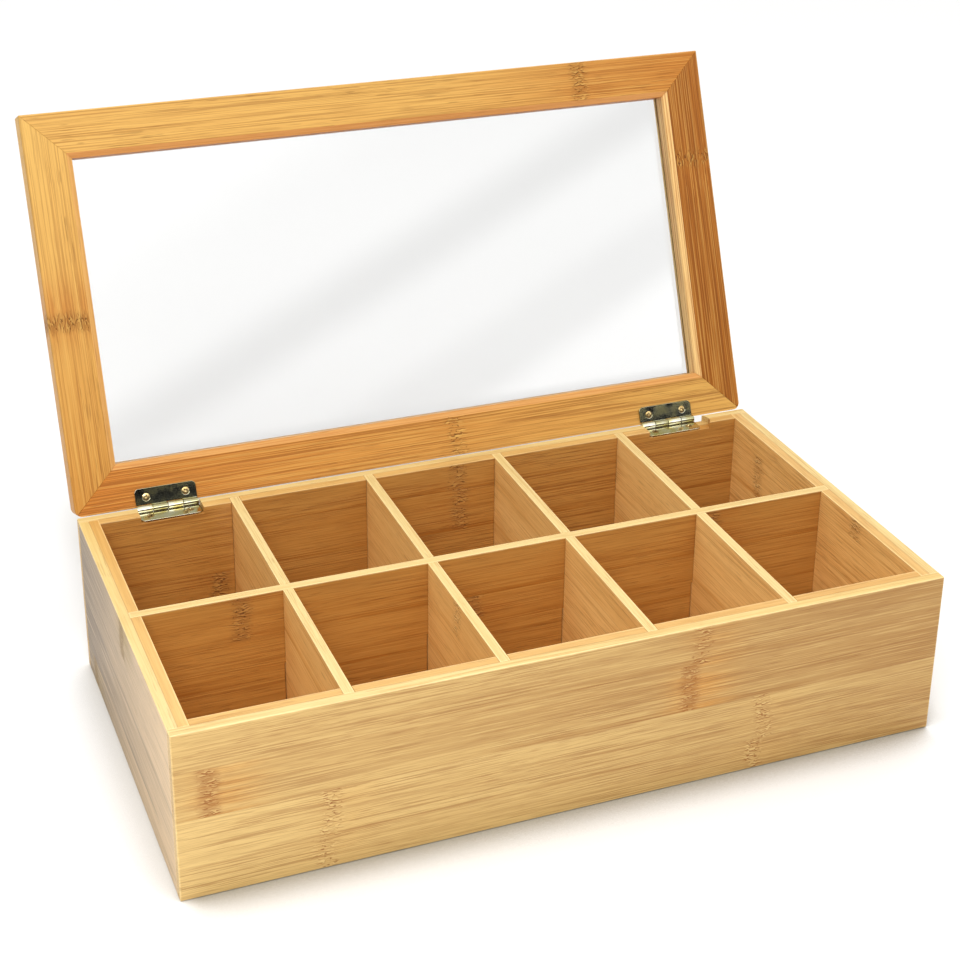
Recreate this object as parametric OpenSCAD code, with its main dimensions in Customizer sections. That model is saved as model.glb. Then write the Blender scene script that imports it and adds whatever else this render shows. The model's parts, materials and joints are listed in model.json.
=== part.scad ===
// Bamboo tea box: a lidded chest with ten open compartments.
// The walls are rabbeted at the corners, the dividers cross in half-laps and end in
// dadoes, and a mitred frame with a clear pane swings on two butt hinges.
// Millimetres. X runs along the box, Y from front to back, Z up.
// The origin is the middle of the footprint, on the underside. The lid is drawn open.

/* [Box] */
// Length of the box along its front
box_w = 380; // [300:1:460]
// Depth of the box from front to back
box_d = 205; // [160:1:260]
// Height of the walls, without the lid
wall_h = 86; // [60:1:130]
// Thickness of a wall, which is two glued plies
wall_t = 10; // [9:0.5:14]
// Thickness of a wall's outer ply; the joints are cut through the inner one
outer_ply_t = 5; // [4:0.5:6]
// Thickness of the bottom panel
bottom_t = 5; // [3:0.5:8]

/* [Dividers] */
// Thickness of every divider
divider_t = 5; // [4:0.5:7]
// Play on each side of a divider's end in its dado
dado_play = 0.15; // [0.05:0.05:0.3]
// Play on each side of a divider in a half-lap slot
slot_play = 0.25; // [0.1:0.05:0.5]

/* [Lid] */
// Thickness of the lid's frame
lid_t = 14; // [12.5:0.5:20]
// Width of a rail of the lid's frame
rail_w = 24; // [20:1:34]
// Width of the bevel round the opening, on the inside of the lid
bevel_w = 3; // [1:0.5:5]
// Depth of that bevel
bevel_d = 2; // [1:0.5:4]
// Thickness of the clear pane
pane_t = 2; // [1.5:0.5:3]
// Wood left above the pane, on the outside of the lid
pane_lip = 2; // [1.5:0.5:3]
// Depth of the groove that holds the pane
groove_depth = 6; // [4:0.5:8]
// Play between the pane's edge and the bottom of its groove
pane_play = 1; // [0.5:0.5:2]
// Radius of the lid's two corners beside the hinges
lid_corner_r = 4; // [2:0.5:6]
// Angle at which the lid stands open
lid_open = 112; // [95:1:130]

/* [Hinges] */
// Distance from the side of the box to the middle of a hinge
hinge_inset = 47; // [35:1:80]
// Length of a hinge along the box
leaf_w = 32; // [26:1:40]
// Thickness of a leaf, which also rolls round the pin
leaf_t = 1; // [0.8:0.1:1.2]
// Radius of a leaf's two free corners
leaf_corner_r = 2.5; // [1:0.5:4]
// How far a leaf's free edge stops short of the wall's inner face
leaf_margin = 0.3; // [0.1:0.1:1]
// Diameter of the hinge pin
pin_d = 2; // [1.6:0.1:2.4]
// Play round the pin in the lid leaf's knuckles
pin_play = 0.05; // [0.02:0.01:0.08]
// Distance of the pin's axis behind the back of the box
pin_setback = 1; // [0.9:0.1:2]
// Gap between neighbouring knuckles
knuckle_gap = 0.3; // [0.2:0.1:0.6]
// Gap between the rim of the box and the closed lid
lid_gap = 0.3; // [0.1:0.1:0.6]
// Play at the ends of a leaf in its mortise
mortise_play = 0.3; // [0.2:0.1:0.6]
// Extra length of the right mortise, past its leaf
mortise_runout = 6.5; // [3:0.5:10]
// Radius of the cutter that leaves the round end there
cutter_r = 7.5; // [7:0.5:9]

/* [Screws] */
// Distance between the two screws of a leaf
screw_pitch = 20.6; // [16:0.2:22]
// Diameter of a screw's shank
screw_d = 2.2; // [1.8:0.1:2.4]
// Diameter of a screw's countersunk head
screw_head_d = 4; // [3.4:0.1:4.4]
// Length of a screw, with its head
screw_l = 9; // [7:0.5:11]
// Width of the cross recess in a head
recess_w = 0.6; // [0.4:0.1:0.8]
// Length of each bar of the cross recess
recess_l = 2.3; // [1.8:0.1:2.4]
// Depth of the cross recess
recess_d = 0.7; // [0.4:0.1:0.8]

/* [Hidden] */

$fn = 64;
// Overshoot of a cutter past the face that it opens
over = 1;

LEFT = -1;
RIGHT = 1;
FRONT = -1;
BACK = 1;

// Compartments: five across, parted by four cross dividers
cross_count = 4;
inner_w = box_w - 2 * wall_t;
cell_w = (inner_w - cross_count * divider_t) / (cross_count + 1);
divider_h = wall_h - bottom_t;
lap_z = bottom_t + divider_h / 2;

// Hinge: both leaves roll round the pin, so the barrel is the pin and two leaf thicknesses
barrel_r = pin_d / 2 + leaf_t;
knuckle_count = 4;
knuckle_w = leaf_w / knuckle_count;
leaf_l = pin_setback + wall_t - leaf_margin;
screw_y = -(pin_setback + wall_t / 2);
hinge_x = box_w / 2 - hinge_inset;
pin_y = box_d / 2 + pin_setback;
pin_z = wall_h + lid_gap - barrel_r;
mortise_depth = 2 * barrel_r - lid_gap;
head_h = (screw_head_d - screw_d) / 2;
tip_h = screw_d;

// Lid, measured up from its inner face
pane_z = lid_t - pane_lip - pane_t;
lid_z = wall_h + lid_gap;

BOARD = "#E0B46E";
INSIDE = "#B9812F";
FRAME = "#D9974A";
CLEAR = [0.93, 0.95, 0.96, 0.35];
NICKEL = "#B9B7AC";
BRASS = "#C9A24E";

// Middle of a cross dividing board, counted from 1 at the left
function cross_x(i) = -inner_w / 2 + i * cell_w + (i - 0.5) * divider_t;

// A block given by its middle in X and Y and by its lowest Z
module block(size, at) {
    translate([at[0] - size[0] / 2, at[1] - size[1] / 2, at[2]]) cube(size);
}

// --- Box ---

// The bottom panel's board, which lies in a rabbet cut through the inner plies
module bottom_board() {
    block([box_w - 2 * outer_ply_t, box_d - 2 * outer_ply_t, bottom_t], [0, 0, 0]);
}

// The long divider without its slots; play widens it into the cutter for its dadoes
module long_board(play = 0) {
    block([box_w - 2 * outer_ply_t, divider_t + 2 * play, divider_h + over * sign(play)],
        [0, 0, bottom_t]);
}

// One cross divider without its slot; play widens it into the cutter for its dadoes
module cross_board(i, play = 0) {
    block([divider_t + 2 * play, box_d - 2 * outer_ply_t, divider_h + over * sign(play)],
        [cross_x(i), 0, bottom_t]);
}

// A front or back wall: its outer ply covers the ends of the side walls
module long_wall(side) {
    difference() {
        block([box_w, wall_t, wall_h], [0, side * (box_d - wall_t) / 2, 0]);
        for (end = [LEFT, RIGHT])
            side_board(end);
        bottom_board();
        for (i = [1:cross_count])
            cross_board(i, dado_play);
    }
}

// A side wall's board, which ends against the outer plies of the front and back
module side_board(side) {
    block([wall_t, box_d - 2 * outer_ply_t, wall_h], [side * (box_w - wall_t) / 2, 0, 0]);
}

module side_wall(side) {
    difference() {
        side_board(side);
        bottom_board();
        long_board(dado_play);
    }
}

// Plan of a hinge's mortise, from the left end of the leaf to past its right end
module mortise_plan(runout) {
    left_end = -leaf_w / 2 - mortise_play;
    right_end = leaf_w / 2 + mortise_play + runout;
    wall_y = -pin_setback - wall_t / 2;
    if (runout > 0) {
        translate([left_end, wall_y - wall_t / 2 - over])
            square([right_end - cutter_r - left_end, wall_t + 2 * over]);
        translate([right_end - cutter_r, wall_y]) circle(cutter_r);
    } else {
        translate([left_end, wall_y - wall_t / 2 - over])
            square([right_end - left_end, wall_t + 2 * over]);
    }
}

module mortise(side, runout) {
    translate([side * hinge_x, pin_y, wall_h - mortise_depth])
        linear_extrude(mortise_depth + over) mortise_plan(runout);
}

module front_wall() {
    color(BOARD) long_wall(FRONT);
}

module back_wall() {
    color(BOARD) difference() {
        long_wall(BACK);
        mortise(LEFT, 0);
        mortise(RIGHT, mortise_runout);
        for (side = [LEFT, RIGHT])
            at_hinge(side) screw_pair();
    }
}

module left_wall() {
    color(BOARD) side_wall(LEFT);
}

module right_wall() {
    color(BOARD) side_wall(RIGHT);
}

module bottom_panel() {
    color(INSIDE) bottom_board();
}

// Slots in the long divider open downward, and drop over the cross dividers
module long_divider() {
    color(INSIDE) difference() {
        long_board();
        for (i = [1:cross_count])
            block([divider_t + 2 * slot_play, divider_t + 2 * over, divider_h / 2 + over],
                [cross_x(i), 0, lap_z - divider_h / 2 - over]);
    }
}

// The slot in a cross divider opens upward
module cross_divider(i) {
    color(INSIDE) difference() {
        cross_board(i);
        block([divider_t + 2 * over, divider_t + 2 * slot_play, divider_h / 2 + over],
            [cross_x(i), 0, lap_z]);
    }
}

// --- Lid, drawn closed and then swung open about the pins ---

module opened() {
    translate([0, pin_y, pin_z]) rotate([-lid_open, 0, 0])
        translate([0, -pin_y, -pin_z]) children();
}

// Section of a rail: X inward from the lid's edge, Y up from its inner face
module rail_section() {
    polygon([
        [0, 0], [rail_w - bevel_w, 0], [rail_w, bevel_d], [rail_w, pane_z],
        [rail_w - groove_depth, pane_z], [rail_w - groove_depth, pane_z + pane_t],
        [rail_w, pane_z + pane_t], [rail_w, lid_t], [0, lid_t]
    ]);
}

// A rail along X with its outer edge on Y = 0, mitred at both ends
module rail(length) {
    intersection() {
        translate([-length / 2, 0, 0]) rotate([90, 0, 90])
            linear_extrude(length) rail_section();
        linear_extrude(lid_t) polygon([
            [-length / 2, 0], [length / 2, 0],
            [length / 2 - rail_w, rail_w], [-length / 2 + rail_w, rail_w]
        ]);
    }
}

// Plan of the lid: square corners at the front, round ones beside the hinges
module lid_plan() {
    r = lid_corner_r;
    translate([-box_w / 2, -box_d / 2]) square([box_w, box_d - r]);
    translate([-box_w / 2 + r, -box_d / 2]) square([box_w - 2 * r, box_d]);
    for (end = [LEFT, RIGHT])
        translate([end * (box_w / 2 - r), box_d / 2 - r]) circle(r);
}

// A rail in its place: turn is 0 at the front, and 90, 180 and 270 at the right, back and left
module placed_rail(turn, length, reach) {
    translate([0, 0, lid_z]) intersection() {
        rotate(turn) translate([0, -reach / 2, 0]) rail(length);
        linear_extrude(lid_t) lid_plan();
    }
}

module lid_front_rail() {
    color(FRAME) opened() placed_rail(0, box_w, box_d);
}

module lid_right_rail() {
    color(FRAME) opened() placed_rail(90, box_d, box_w);
}

module lid_back_rail() {
    color(FRAME) opened() difference() {
        placed_rail(180, box_w, box_d);
        for (side = [LEFT, RIGHT])
            at_hinge(side) swapped() screw_pair();
    }
}

module lid_left_rail() {
    color(FRAME) opened() placed_rail(270, box_d, box_w);
}

// The pane runs into the grooves, short of their bottoms
module lid_pane() {
    hidden = rail_w - groove_depth + pane_play;
    color(CLEAR) opened()
        block([box_w - 2 * hidden, box_d - 2 * hidden, pane_t], [0, 0, lid_z + pane_z]);
}

// --- Hinges, drawn about the pin's axis with both leaves pointing forward ---

module at_hinge(side) {
    translate([side * hinge_x, pin_y, pin_z]) children();
}

// Turns what belongs to the box leaf into its partner on the lid
module swapped() {
    rotate([0, 180, 0]) children();
}

// Left end of a knuckle, counted from 0 at the left
function knuckle_x(k) = -leaf_w / 2 + k * knuckle_w;

// Plan of a leaf's plate: round at its free corners, notched for the other leaf's knuckles
module leaf_plan() {
    r = leaf_corner_r;
    difference() {
        union() {
            translate([-leaf_w / 2, r - leaf_l]) square([leaf_w, leaf_l - r]);
            translate([r - leaf_w / 2, -leaf_l]) square([leaf_w - 2 * r, leaf_l]);
            for (end = [LEFT, RIGHT])
                translate([end * (leaf_w / 2 - r), r - leaf_l]) circle(r);
        }
        for (k = [1:2:knuckle_count - 1])
            translate([knuckle_x(k) - knuckle_gap / 2, -barrel_r - knuckle_gap])
                square([knuckle_w + knuckle_gap, barrel_r + knuckle_gap + over]);
    }
}

// A leaf with its knuckles, its plate lowest, and bore_r as the radius round the pin
module leaf(bore_r) {
    difference() {
        union() {
            translate([0, 0, -barrel_r]) linear_extrude(leaf_t) leaf_plan();
            for (k = [0:2:knuckle_count - 1])
                translate([knuckle_x(k) + (k == 0 ? 0 : knuckle_gap / 2), 0, 0])
                    rotate([0, 90, 0])
                    cylinder(r = barrel_r, h = knuckle_w - knuckle_gap / (k == 0 ? 2 : 1));
        }
        translate([-leaf_w / 2 - over, 0, 0]) rotate([0, 90, 0])
            cylinder(r = bore_r, h = leaf_w + 2 * over);
        screw_pair();
    }
}

// A countersunk wood screw, its head's face at Z = 0 and its point down
module screw() {
    translate([0, 0, -head_h]) cylinder(r1 = screw_d / 2, r2 = screw_head_d / 2, h = head_h);
    translate([0, 0, tip_h - screw_l]) cylinder(r = screw_d / 2, h = screw_l - tip_h - head_h);
    translate([0, 0, -screw_l]) cylinder(r1 = 0, r2 = screw_d / 2, h = tip_h);
}

module screw_pair() {
    for (end = [LEFT, RIGHT])
        translate([end * screw_pitch / 2, screw_y, leaf_t - barrel_r]) screw();
}

// The same pair with a cross recess in each head
module driven_screws() {
    for (end = [LEFT, RIGHT])
        translate([end * screw_pitch / 2, screw_y, leaf_t - barrel_r]) difference() {
            screw();
            for (turn = [0, 90])
                rotate(turn) block([recess_l, recess_w, recess_d + over], [0, 0, -recess_d]);
        }
}

// The box leaf's knuckles grip the pin
module hinge_box_leaf(side) {
    color(NICKEL) at_hinge(side) leaf(pin_d / 2);
}

// The lid leaf's knuckles turn on the pin
module hinge_lid_leaf(side) {
    color(NICKEL) opened() at_hinge(side) swapped() leaf(pin_d / 2 + pin_play);
}

module hinge_pin(side) {
    color(NICKEL) at_hinge(side) translate([-leaf_w / 2, 0, 0]) rotate([0, 90, 0])
        cylinder(d = pin_d, h = leaf_w);
}

module hinge_box_screws(side) {
    color(BRASS) at_hinge(side) driven_screws();
}

module hinge_lid_screws(side) {
    color(BRASS) opened() at_hinge(side) swapped() driven_screws();
}

front_wall();
back_wall();
left_wall();
right_wall();
bottom_panel();
long_divider();
cross_divider(1);  // cross_divider_1
cross_divider(2);  // cross_divider_2
cross_divider(3);  // cross_divider_3
cross_divider(4);  // cross_divider_4
lid_front_rail();
lid_back_rail();
lid_left_rail();
lid_right_rail();
lid_pane();
hinge_box_leaf(LEFT);  // left_hinge_box_leaf
hinge_lid_leaf(LEFT);  // left_hinge_lid_leaf
hinge_pin(LEFT);  // left_hinge_pin
hinge_box_screws(LEFT);  // left_hinge_box_screws
hinge_lid_screws(LEFT);  // left_hinge_lid_screws
hinge_box_leaf(RIGHT);  // right_hinge_box_leaf
hinge_lid_leaf(RIGHT);  // right_hinge_lid_leaf
hinge_pin(RIGHT);  // right_hinge_pin
hinge_box_screws(RIGHT);  // right_hinge_box_screws
hinge_lid_screws(RIGHT);  // right_hinge_lid_screws
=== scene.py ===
"""Looks of the bamboo tea box.

The boards keep the shapes of the construction model, with eased edges and a laminated
bamboo finish. The hinges are made anew as rolled leaves, pins and cross-head screws.
Lengths are metres in the frame of the construction model: X runs along the box, Y from
front to back and Z up, and the origin is under the middle of the box. The lid is open.
"""

import json
import logging
import math
from dataclasses import dataclass, field, replace
from enum import Enum

import bmesh
import bpy
import numpy as np
from mathutils import Matrix, Vector


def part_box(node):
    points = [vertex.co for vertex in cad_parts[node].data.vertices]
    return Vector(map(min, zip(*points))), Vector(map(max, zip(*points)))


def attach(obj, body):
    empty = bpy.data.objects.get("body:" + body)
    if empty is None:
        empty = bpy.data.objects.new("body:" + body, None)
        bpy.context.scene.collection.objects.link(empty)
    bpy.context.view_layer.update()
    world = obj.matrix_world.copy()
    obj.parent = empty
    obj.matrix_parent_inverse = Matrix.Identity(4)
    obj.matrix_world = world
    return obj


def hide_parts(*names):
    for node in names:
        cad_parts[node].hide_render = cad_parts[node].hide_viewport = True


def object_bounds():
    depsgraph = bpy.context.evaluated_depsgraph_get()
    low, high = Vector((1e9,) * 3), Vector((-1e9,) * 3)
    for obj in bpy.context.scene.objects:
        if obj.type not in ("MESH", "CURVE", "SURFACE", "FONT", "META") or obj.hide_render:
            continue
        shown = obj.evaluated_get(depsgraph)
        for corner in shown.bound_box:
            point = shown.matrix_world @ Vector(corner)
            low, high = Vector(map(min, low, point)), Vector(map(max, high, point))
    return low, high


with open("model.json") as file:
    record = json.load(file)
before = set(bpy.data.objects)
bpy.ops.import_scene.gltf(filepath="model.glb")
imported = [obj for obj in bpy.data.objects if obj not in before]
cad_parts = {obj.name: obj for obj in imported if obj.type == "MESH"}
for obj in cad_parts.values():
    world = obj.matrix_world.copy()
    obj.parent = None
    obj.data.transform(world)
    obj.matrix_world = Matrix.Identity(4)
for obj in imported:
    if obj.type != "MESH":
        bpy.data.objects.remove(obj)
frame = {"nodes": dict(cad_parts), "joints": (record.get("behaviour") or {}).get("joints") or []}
CAD_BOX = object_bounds()

LOG = logging.getLogger("tea_box")
MM = 0.001
SHARP = 25.0  # degrees; an edge whose faces turn by more counts as sharp
NO_NODE = 0.9  # place along the grain, past the end of every board
NO_CUT = -1.0  # place across the grain, before the edge of every board
ONE_PLY = 6 * MM  # ply that is thicker than a thin board
WHITE = (1.0, 1.0, 1.0, 1.0)


class Body(Enum):
    """The two bodies that the hinge joins."""

    BOX = "box"
    LID = "lid"


class Finish(Enum):
    """The record's material slots."""

    WALL = "wall_bamboo"
    INSIDE = "inside_bamboo"
    LID = "lid_bamboo"
    NICKEL = "nickel_hinge"
    BRASS = "brass_screw"


class Side(Enum):
    """The two ends of the box, by the sign of X."""

    LEFT = -1
    RIGHT = 1


def srgb(code: str) -> tuple[float, float, float, float]:
    """Turns a colour code into linear light.

    Args:
        code: Six hexadecimal digits, as on a paint card.

    Returns:
        Red, green, blue and a full alpha.
    """
    shares = np.array([int(code[i : i + 2], 16) for i in (0, 2, 4)]) / 255
    linear = np.where(shares <= 0.04045, shares / 12.92, ((shares + 0.055) / 1.055) ** 2.4)
    return (float(linear[0]), float(linear[1]), float(linear[2]), 1.0)


# --- Surfaces -----------------------------------------------------------------------


@dataclass(frozen=True)
class Surface:
    """Points and the quads that join them.

    Attributes:
        points: Places of the corners, one row each.
        faces: Four corner numbers a row.
    """

    points: np.ndarray
    faces: np.ndarray

    @staticmethod
    def grid(points: np.ndarray, close_u: bool = False, close_v: bool = False) -> "Surface":
        """Joins a grid of points into quads: corner (i, j) meets (i+1, j) and (i, j+1).

        Args:
            points: Places of shape (rows, columns, 3).
            close_u: Whether the last row meets the first.
            close_v: Whether the last column meets the first.

        Returns:
            The surface.
        """
        rows, columns = points.shape[:2]
        number = np.arange(rows * columns).reshape(rows, columns)
        if close_u:
            number = np.vstack([number, number[:1]])
        if close_v:
            number = np.hstack([number, number[:, :1]])
        corners = [number[:-1, :-1], number[1:, :-1], number[1:, 1:], number[:-1, 1:]]
        return Surface(points.reshape(-1, 3), np.stack(corners, -1).reshape(-1, 4))

    def moved(self, matrix: Matrix) -> "Surface":
        """Places the points by a matrix: each becomes turn times point plus shift.

        Args:
            matrix: A 4 by 4 matrix.

        Returns:
            The moved surface.
        """
        table = np.array(matrix)
        return Surface(self.points @ table[:3, :3].T + table[:3, 3], self.faces)

    @staticmethod
    def joined(parts: "list[Surface]") -> "Surface":
        """Puts several surfaces into one, with their corners renumbered.

        Args:
            parts: The surfaces.

        Returns:
            One surface that holds them all.
        """
        starts = np.cumsum([0] + [len(part.points) for part in parts[:-1]])
        faces = [part.faces + start for part, start in zip(parts, starts)]
        return Surface(np.vstack([part.points for part in parts]), np.vstack(faces))

    def mesh(self, name: str) -> bpy.types.Mesh:
        """Makes a mesh, merges what meets and points its faces outwards.

        Args:
            name: The mesh's name.

        Returns:
            The mesh.
        """
        made = bpy.data.meshes.new(name)
        made.from_pydata(self.points.tolist(), [], self.faces.tolist())
        sheet = bmesh.new()
        sheet.from_mesh(made)
        bmesh.ops.remove_doubles(sheet, verts=sheet.verts, dist=2e-6)
        bmesh.ops.dissolve_degenerate(sheet, edges=sheet.edges, dist=1e-7)
        bmesh.ops.recalc_face_normals(sheet, faces=sheet.faces)
        sheet.to_mesh(made)
        sheet.free()
        return made


def revolved(profile: np.ndarray, steps: int = 64) -> Surface:
    """Turns a profile about the Z axis: x is r cos a, y is r sin a, z is the height.

    Args:
        profile: Rows of radius and height.
        steps: Steps round the turn.

    Returns:
        The surface.
    """
    angle = np.linspace(0, 2 * math.pi, steps, endpoint=False)
    radius, height = profile[:, :1], profile[:, 1:]
    points = np.stack(
        [radius * np.cos(angle), radius * np.sin(angle), height + 0 * angle], -1
    )
    return Surface.grid(points, close_v=True)


def make_object(name: str, mesh: bpy.types.Mesh) -> bpy.types.Object:
    """Puts a mesh into the scene at the origin.

    Args:
        name: The object's name.
        mesh: Its mesh.

    Returns:
        The object.
    """
    made = bpy.data.objects.new(name, mesh)
    bpy.context.scene.collection.objects.link(made)
    return made


def sharp_edges(mesh: bpy.types.Mesh, degrees: float = SHARP) -> np.ndarray:
    """Finds the edges whose two faces turn by more than an angle.

    The turn is the angle between the normals of the first and last face on an edge.

    Args:
        mesh: A mesh whose faces meet.
        degrees: The smallest turn that counts.

    Returns:
        One truth value for each edge.
    """
    normals = np.zeros(len(mesh.polygons) * 3)
    mesh.polygons.foreach_get("normal", normals)
    totals = np.zeros(len(mesh.polygons), int)
    mesh.polygons.foreach_get("loop_total", totals)
    edges = np.zeros(len(mesh.loops), int)
    mesh.loops.foreach_get("edge_index", edges)
    owners = np.repeat(np.arange(len(totals)), totals)
    first, last = np.zeros(len(mesh.edges), int), np.zeros(len(mesh.edges), int)
    first[edges] = owners
    last[edges[::-1]] = owners[::-1]
    normals = normals.reshape(-1, 3)
    return (normals[first] * normals[last]).sum(1) < math.cos(math.radians(degrees))


def edge_ends(mesh: bpy.types.Mesh) -> np.ndarray:
    """Gives the two ends of each edge.

    Args:
        mesh: The mesh.

    Returns:
        Places of shape (edges, 2, 3).
    """
    places = np.zeros(len(mesh.vertices) * 3)
    mesh.vertices.foreach_get("co", places)
    ends = np.zeros(len(mesh.edges) * 2, int)
    mesh.edges.foreach_get("vertices", ends)
    return places.reshape(-1, 3)[ends.reshape(-1, 2)]


def ease_edges(
    obj: bpy.types.Object, weights: np.ndarray, width: float, steps: int = 2
) -> None:
    """Rounds the edges of a piece with a Bevel, each by its own share of one width.

    Args:
        obj: The piece.
        weights: A share from 0 to 1 for each edge.
        width: The width where the share is 1.
        steps: Segments across the rounding.
    """
    mesh = obj.data
    mesh.set_sharp_from_angle(angle=math.radians(SHARP))
    mesh.polygons.foreach_set("use_smooth", np.ones(len(mesh.polygons), bool))
    shares = mesh.attributes.new("bevel_weight_edge", "FLOAT", "EDGE")
    shares.data.foreach_set("value", weights.astype(np.float32))
    rounding = obj.modifiers.new("Eased edges", "BEVEL")
    rounding.limit_method = "WEIGHT"
    rounding.offset_type = "OFFSET"
    rounding.width = width
    rounding.segments = steps
    rounding.use_clamp_overlap = False
    rounding.harden_normals = True
    rounding.loop_slide = False


def board_mesh(node: str) -> bpy.types.Mesh:
    """Copies the mesh of a construction node and joins its loose triangles.

    Args:
        node: The node's name.

    Returns:
        A closed mesh with one face for each flat side.
    """
    mesh = frame["nodes"][node].data.copy()
    mesh.materials.clear()
    sheet = bmesh.new()
    sheet.from_mesh(mesh)
    bmesh.ops.remove_doubles(sheet, verts=sheet.verts, dist=1e-6)
    bmesh.ops.dissolve_limit(
        sheet, angle_limit=math.radians(0.5), verts=sheet.verts, edges=sheet.edges
    )
    sheet.to_mesh(mesh)
    sheet.free()
    mesh.name = node + "_board"
    return mesh


# --- Node trees ---------------------------------------------------------------------


class Signal:
    """An output of a node that can be reckoned with: each sign adds a Math node."""

    def __init__(self, wire: "Wiring", socket: bpy.types.NodeSocket) -> None:
        """Wraps a socket of the tree that is being wired."""
        self.wire, self.socket = wire, socket

    def __add__(self, other: "Source") -> "Signal":
        """Adds a value."""
        return self.wire.math("ADD", self, other)

    def __radd__(self, other: "Source") -> "Signal":
        """Adds this to a number."""
        return self.wire.math("ADD", other, self)

    def __sub__(self, other: "Source") -> "Signal":
        """Takes a value away."""
        return self.wire.math("SUBTRACT", self, other)

    def __rsub__(self, other: "Source") -> "Signal":
        """Takes this away from a number."""
        return self.wire.math("SUBTRACT", other, self)

    def __mul__(self, other: "Source") -> "Signal":
        """Multiplies by a value."""
        return self.wire.math("MULTIPLY", self, other)

    def __truediv__(self, other: "Source") -> "Signal":
        """Divides by a value."""
        return self.wire.math("DIVIDE", self, other)

    def __rtruediv__(self, other: "Source") -> "Signal":
        """Divides a number by this."""
        return self.wire.math("DIVIDE", other, self)

    def __abs__(self) -> "Signal":
        """Drops the sign."""
        return self.wire.math("ABSOLUTE", self)


Source = Signal | float | tuple[float, ...]


class Wiring:
    """Short calls that add nodes to a tree and join them."""

    def __init__(self, tree: bpy.types.NodeTree) -> None:
        """Starts on a tree."""
        self.tree = tree

    def add(
        self, kind: str, feeds: dict[str | int, Source] | None = None, **settings: object
    ) -> bpy.types.Node:
        """Adds a node.

        Args:
            kind: The node's type.
            feeds: What goes into its inputs: a signal to link or a value to set.
            **settings: The node's properties.

        Returns:
            The node.
        """
        made = self.tree.nodes.new(kind)
        for name, value in settings.items():
            setattr(made, name, value)
        for key, value in (feeds or {}).items():
            self.feed(made.inputs[key], value)
        return made

    def feed(self, target: bpy.types.NodeSocket, value: Source) -> None:
        """Links a signal to an input, or sets the input's value.

        Args:
            target: The input.
            value: A signal or a constant.
        """
        if isinstance(value, Signal):
            self.tree.links.new(value.socket, target)
        else:
            target.default_value = value

    def named(self, node: bpy.types.Node) -> dict[str, Signal]:
        """Gives a node's outputs by their names."""
        return {output.name: Signal(self, output) for output in node.outputs}

    def first(
        self, kind: str, feeds: dict[str | int, Source] | None = None, **settings: object
    ) -> Signal:
        """Adds a node and gives its first output.

        Args:
            kind: The node's type.
            feeds: What goes into its inputs.
            **settings: The node's properties.

        Returns:
            The output.
        """
        return Signal(self, self.add(kind, feeds, **settings).outputs[0])

    def group(
        self, tree: bpy.types.NodeTree, feeds: dict[str, Source]
    ) -> dict[str, Signal]:
        """Places a shared node group and gives its outputs by their names."""
        return self.named(self.add("ShaderNodeGroup", feeds, node_tree=tree))

    def here(self) -> Signal:
        """Gives the Object coordinates."""
        return self.named(self.add("ShaderNodeTexCoord"))["Object"]

    def parts(self, vector: Signal) -> list[Signal]:
        """Takes a vector apart into X, Y and Z."""
        return list(self.named(self.add("ShaderNodeSeparateXYZ", {0: vector})).values())

    def vector(self, *parts: Source) -> Signal:
        """Puts a vector together from X, Y and Z."""
        return self.first("ShaderNodeCombineXYZ", dict(enumerate(parts)))

    def vectors(self, operation: str, first: Source, second: Source) -> Signal:
        """Adds a Vector Math node that joins two vectors."""
        feeds = {0: first, 1: second}
        return self.first("ShaderNodeVectorMath", feeds, operation=operation)

    def math(self, operation: str, *values: Source, clamp: bool = False) -> Signal:
        """Adds a Math node.

        Args:
            operation: The node's operation.
            *values: Its inputs in order.
            clamp: Whether the result stays between 0 and 1.

        Returns:
            The result.
        """
        feeds = dict(enumerate(values))
        return self.first("ShaderNodeMath", feeds, operation=operation, use_clamp=clamp)

    def between(self, value: Source, low: float, high: float) -> Signal:
        """Rises smoothly from 0 at one value to 1 at another.

        Args:
            value: What is read.
            low: Where the result is 0.
            high: Where the result is 1; it may be under low.

        Returns:
            The result.
        """
        feeds = {0: value, 1: low, 2: high, 3: 0.0, 4: 1.0}
        return self.first("ShaderNodeMapRange", feeds, interpolation_type="SMOOTHSTEP")

    def noise(
        self, vector: Signal, cells: tuple[float, float, float], octaves: float = 2.0
    ) -> Signal:
        """Reads noise on a stretched vector.

        Args:
            vector: The place.
            cells: Cells to the metre along each axis.
            octaves: Octaves of the noise.

        Returns:
            A value round one half.
        """
        stretched = self.vectors("MULTIPLY", vector, cells)
        feeds = {"Vector": stretched, "Scale": 1.0, "Detail": octaves}
        return self.first("ShaderNodeTexNoise", feeds)

    def mixed(
        self, share: Source, first: Source, second: Source, mode: str = "MIX"
    ) -> Signal:
        """Mixes two colours.

        Args:
            share: How much of the second.
            first: The colour underneath.
            second: The colour on top.
            mode: The blend.

        Returns:
            The mixed colour.
        """
        feeds = {0: share, 6: first, 7: second}
        node = self.add("ShaderNodeMix", feeds, data_type="RGBA", blend_type=mode)
        return Signal(self, node.outputs[2])

    def bump(self, height: Signal, distance: float, strength: float) -> Signal:
        """Turns a height into a normal.

        Args:
            height: The height, as a share of the distance.
            distance: How high the relief is, in metres.
            strength: How much of it shows.

        Returns:
            The normal.
        """
        feeds = {"Height": height, "Distance": distance, "Strength": strength}
        return self.first("ShaderNodeBump", feeds)


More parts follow.
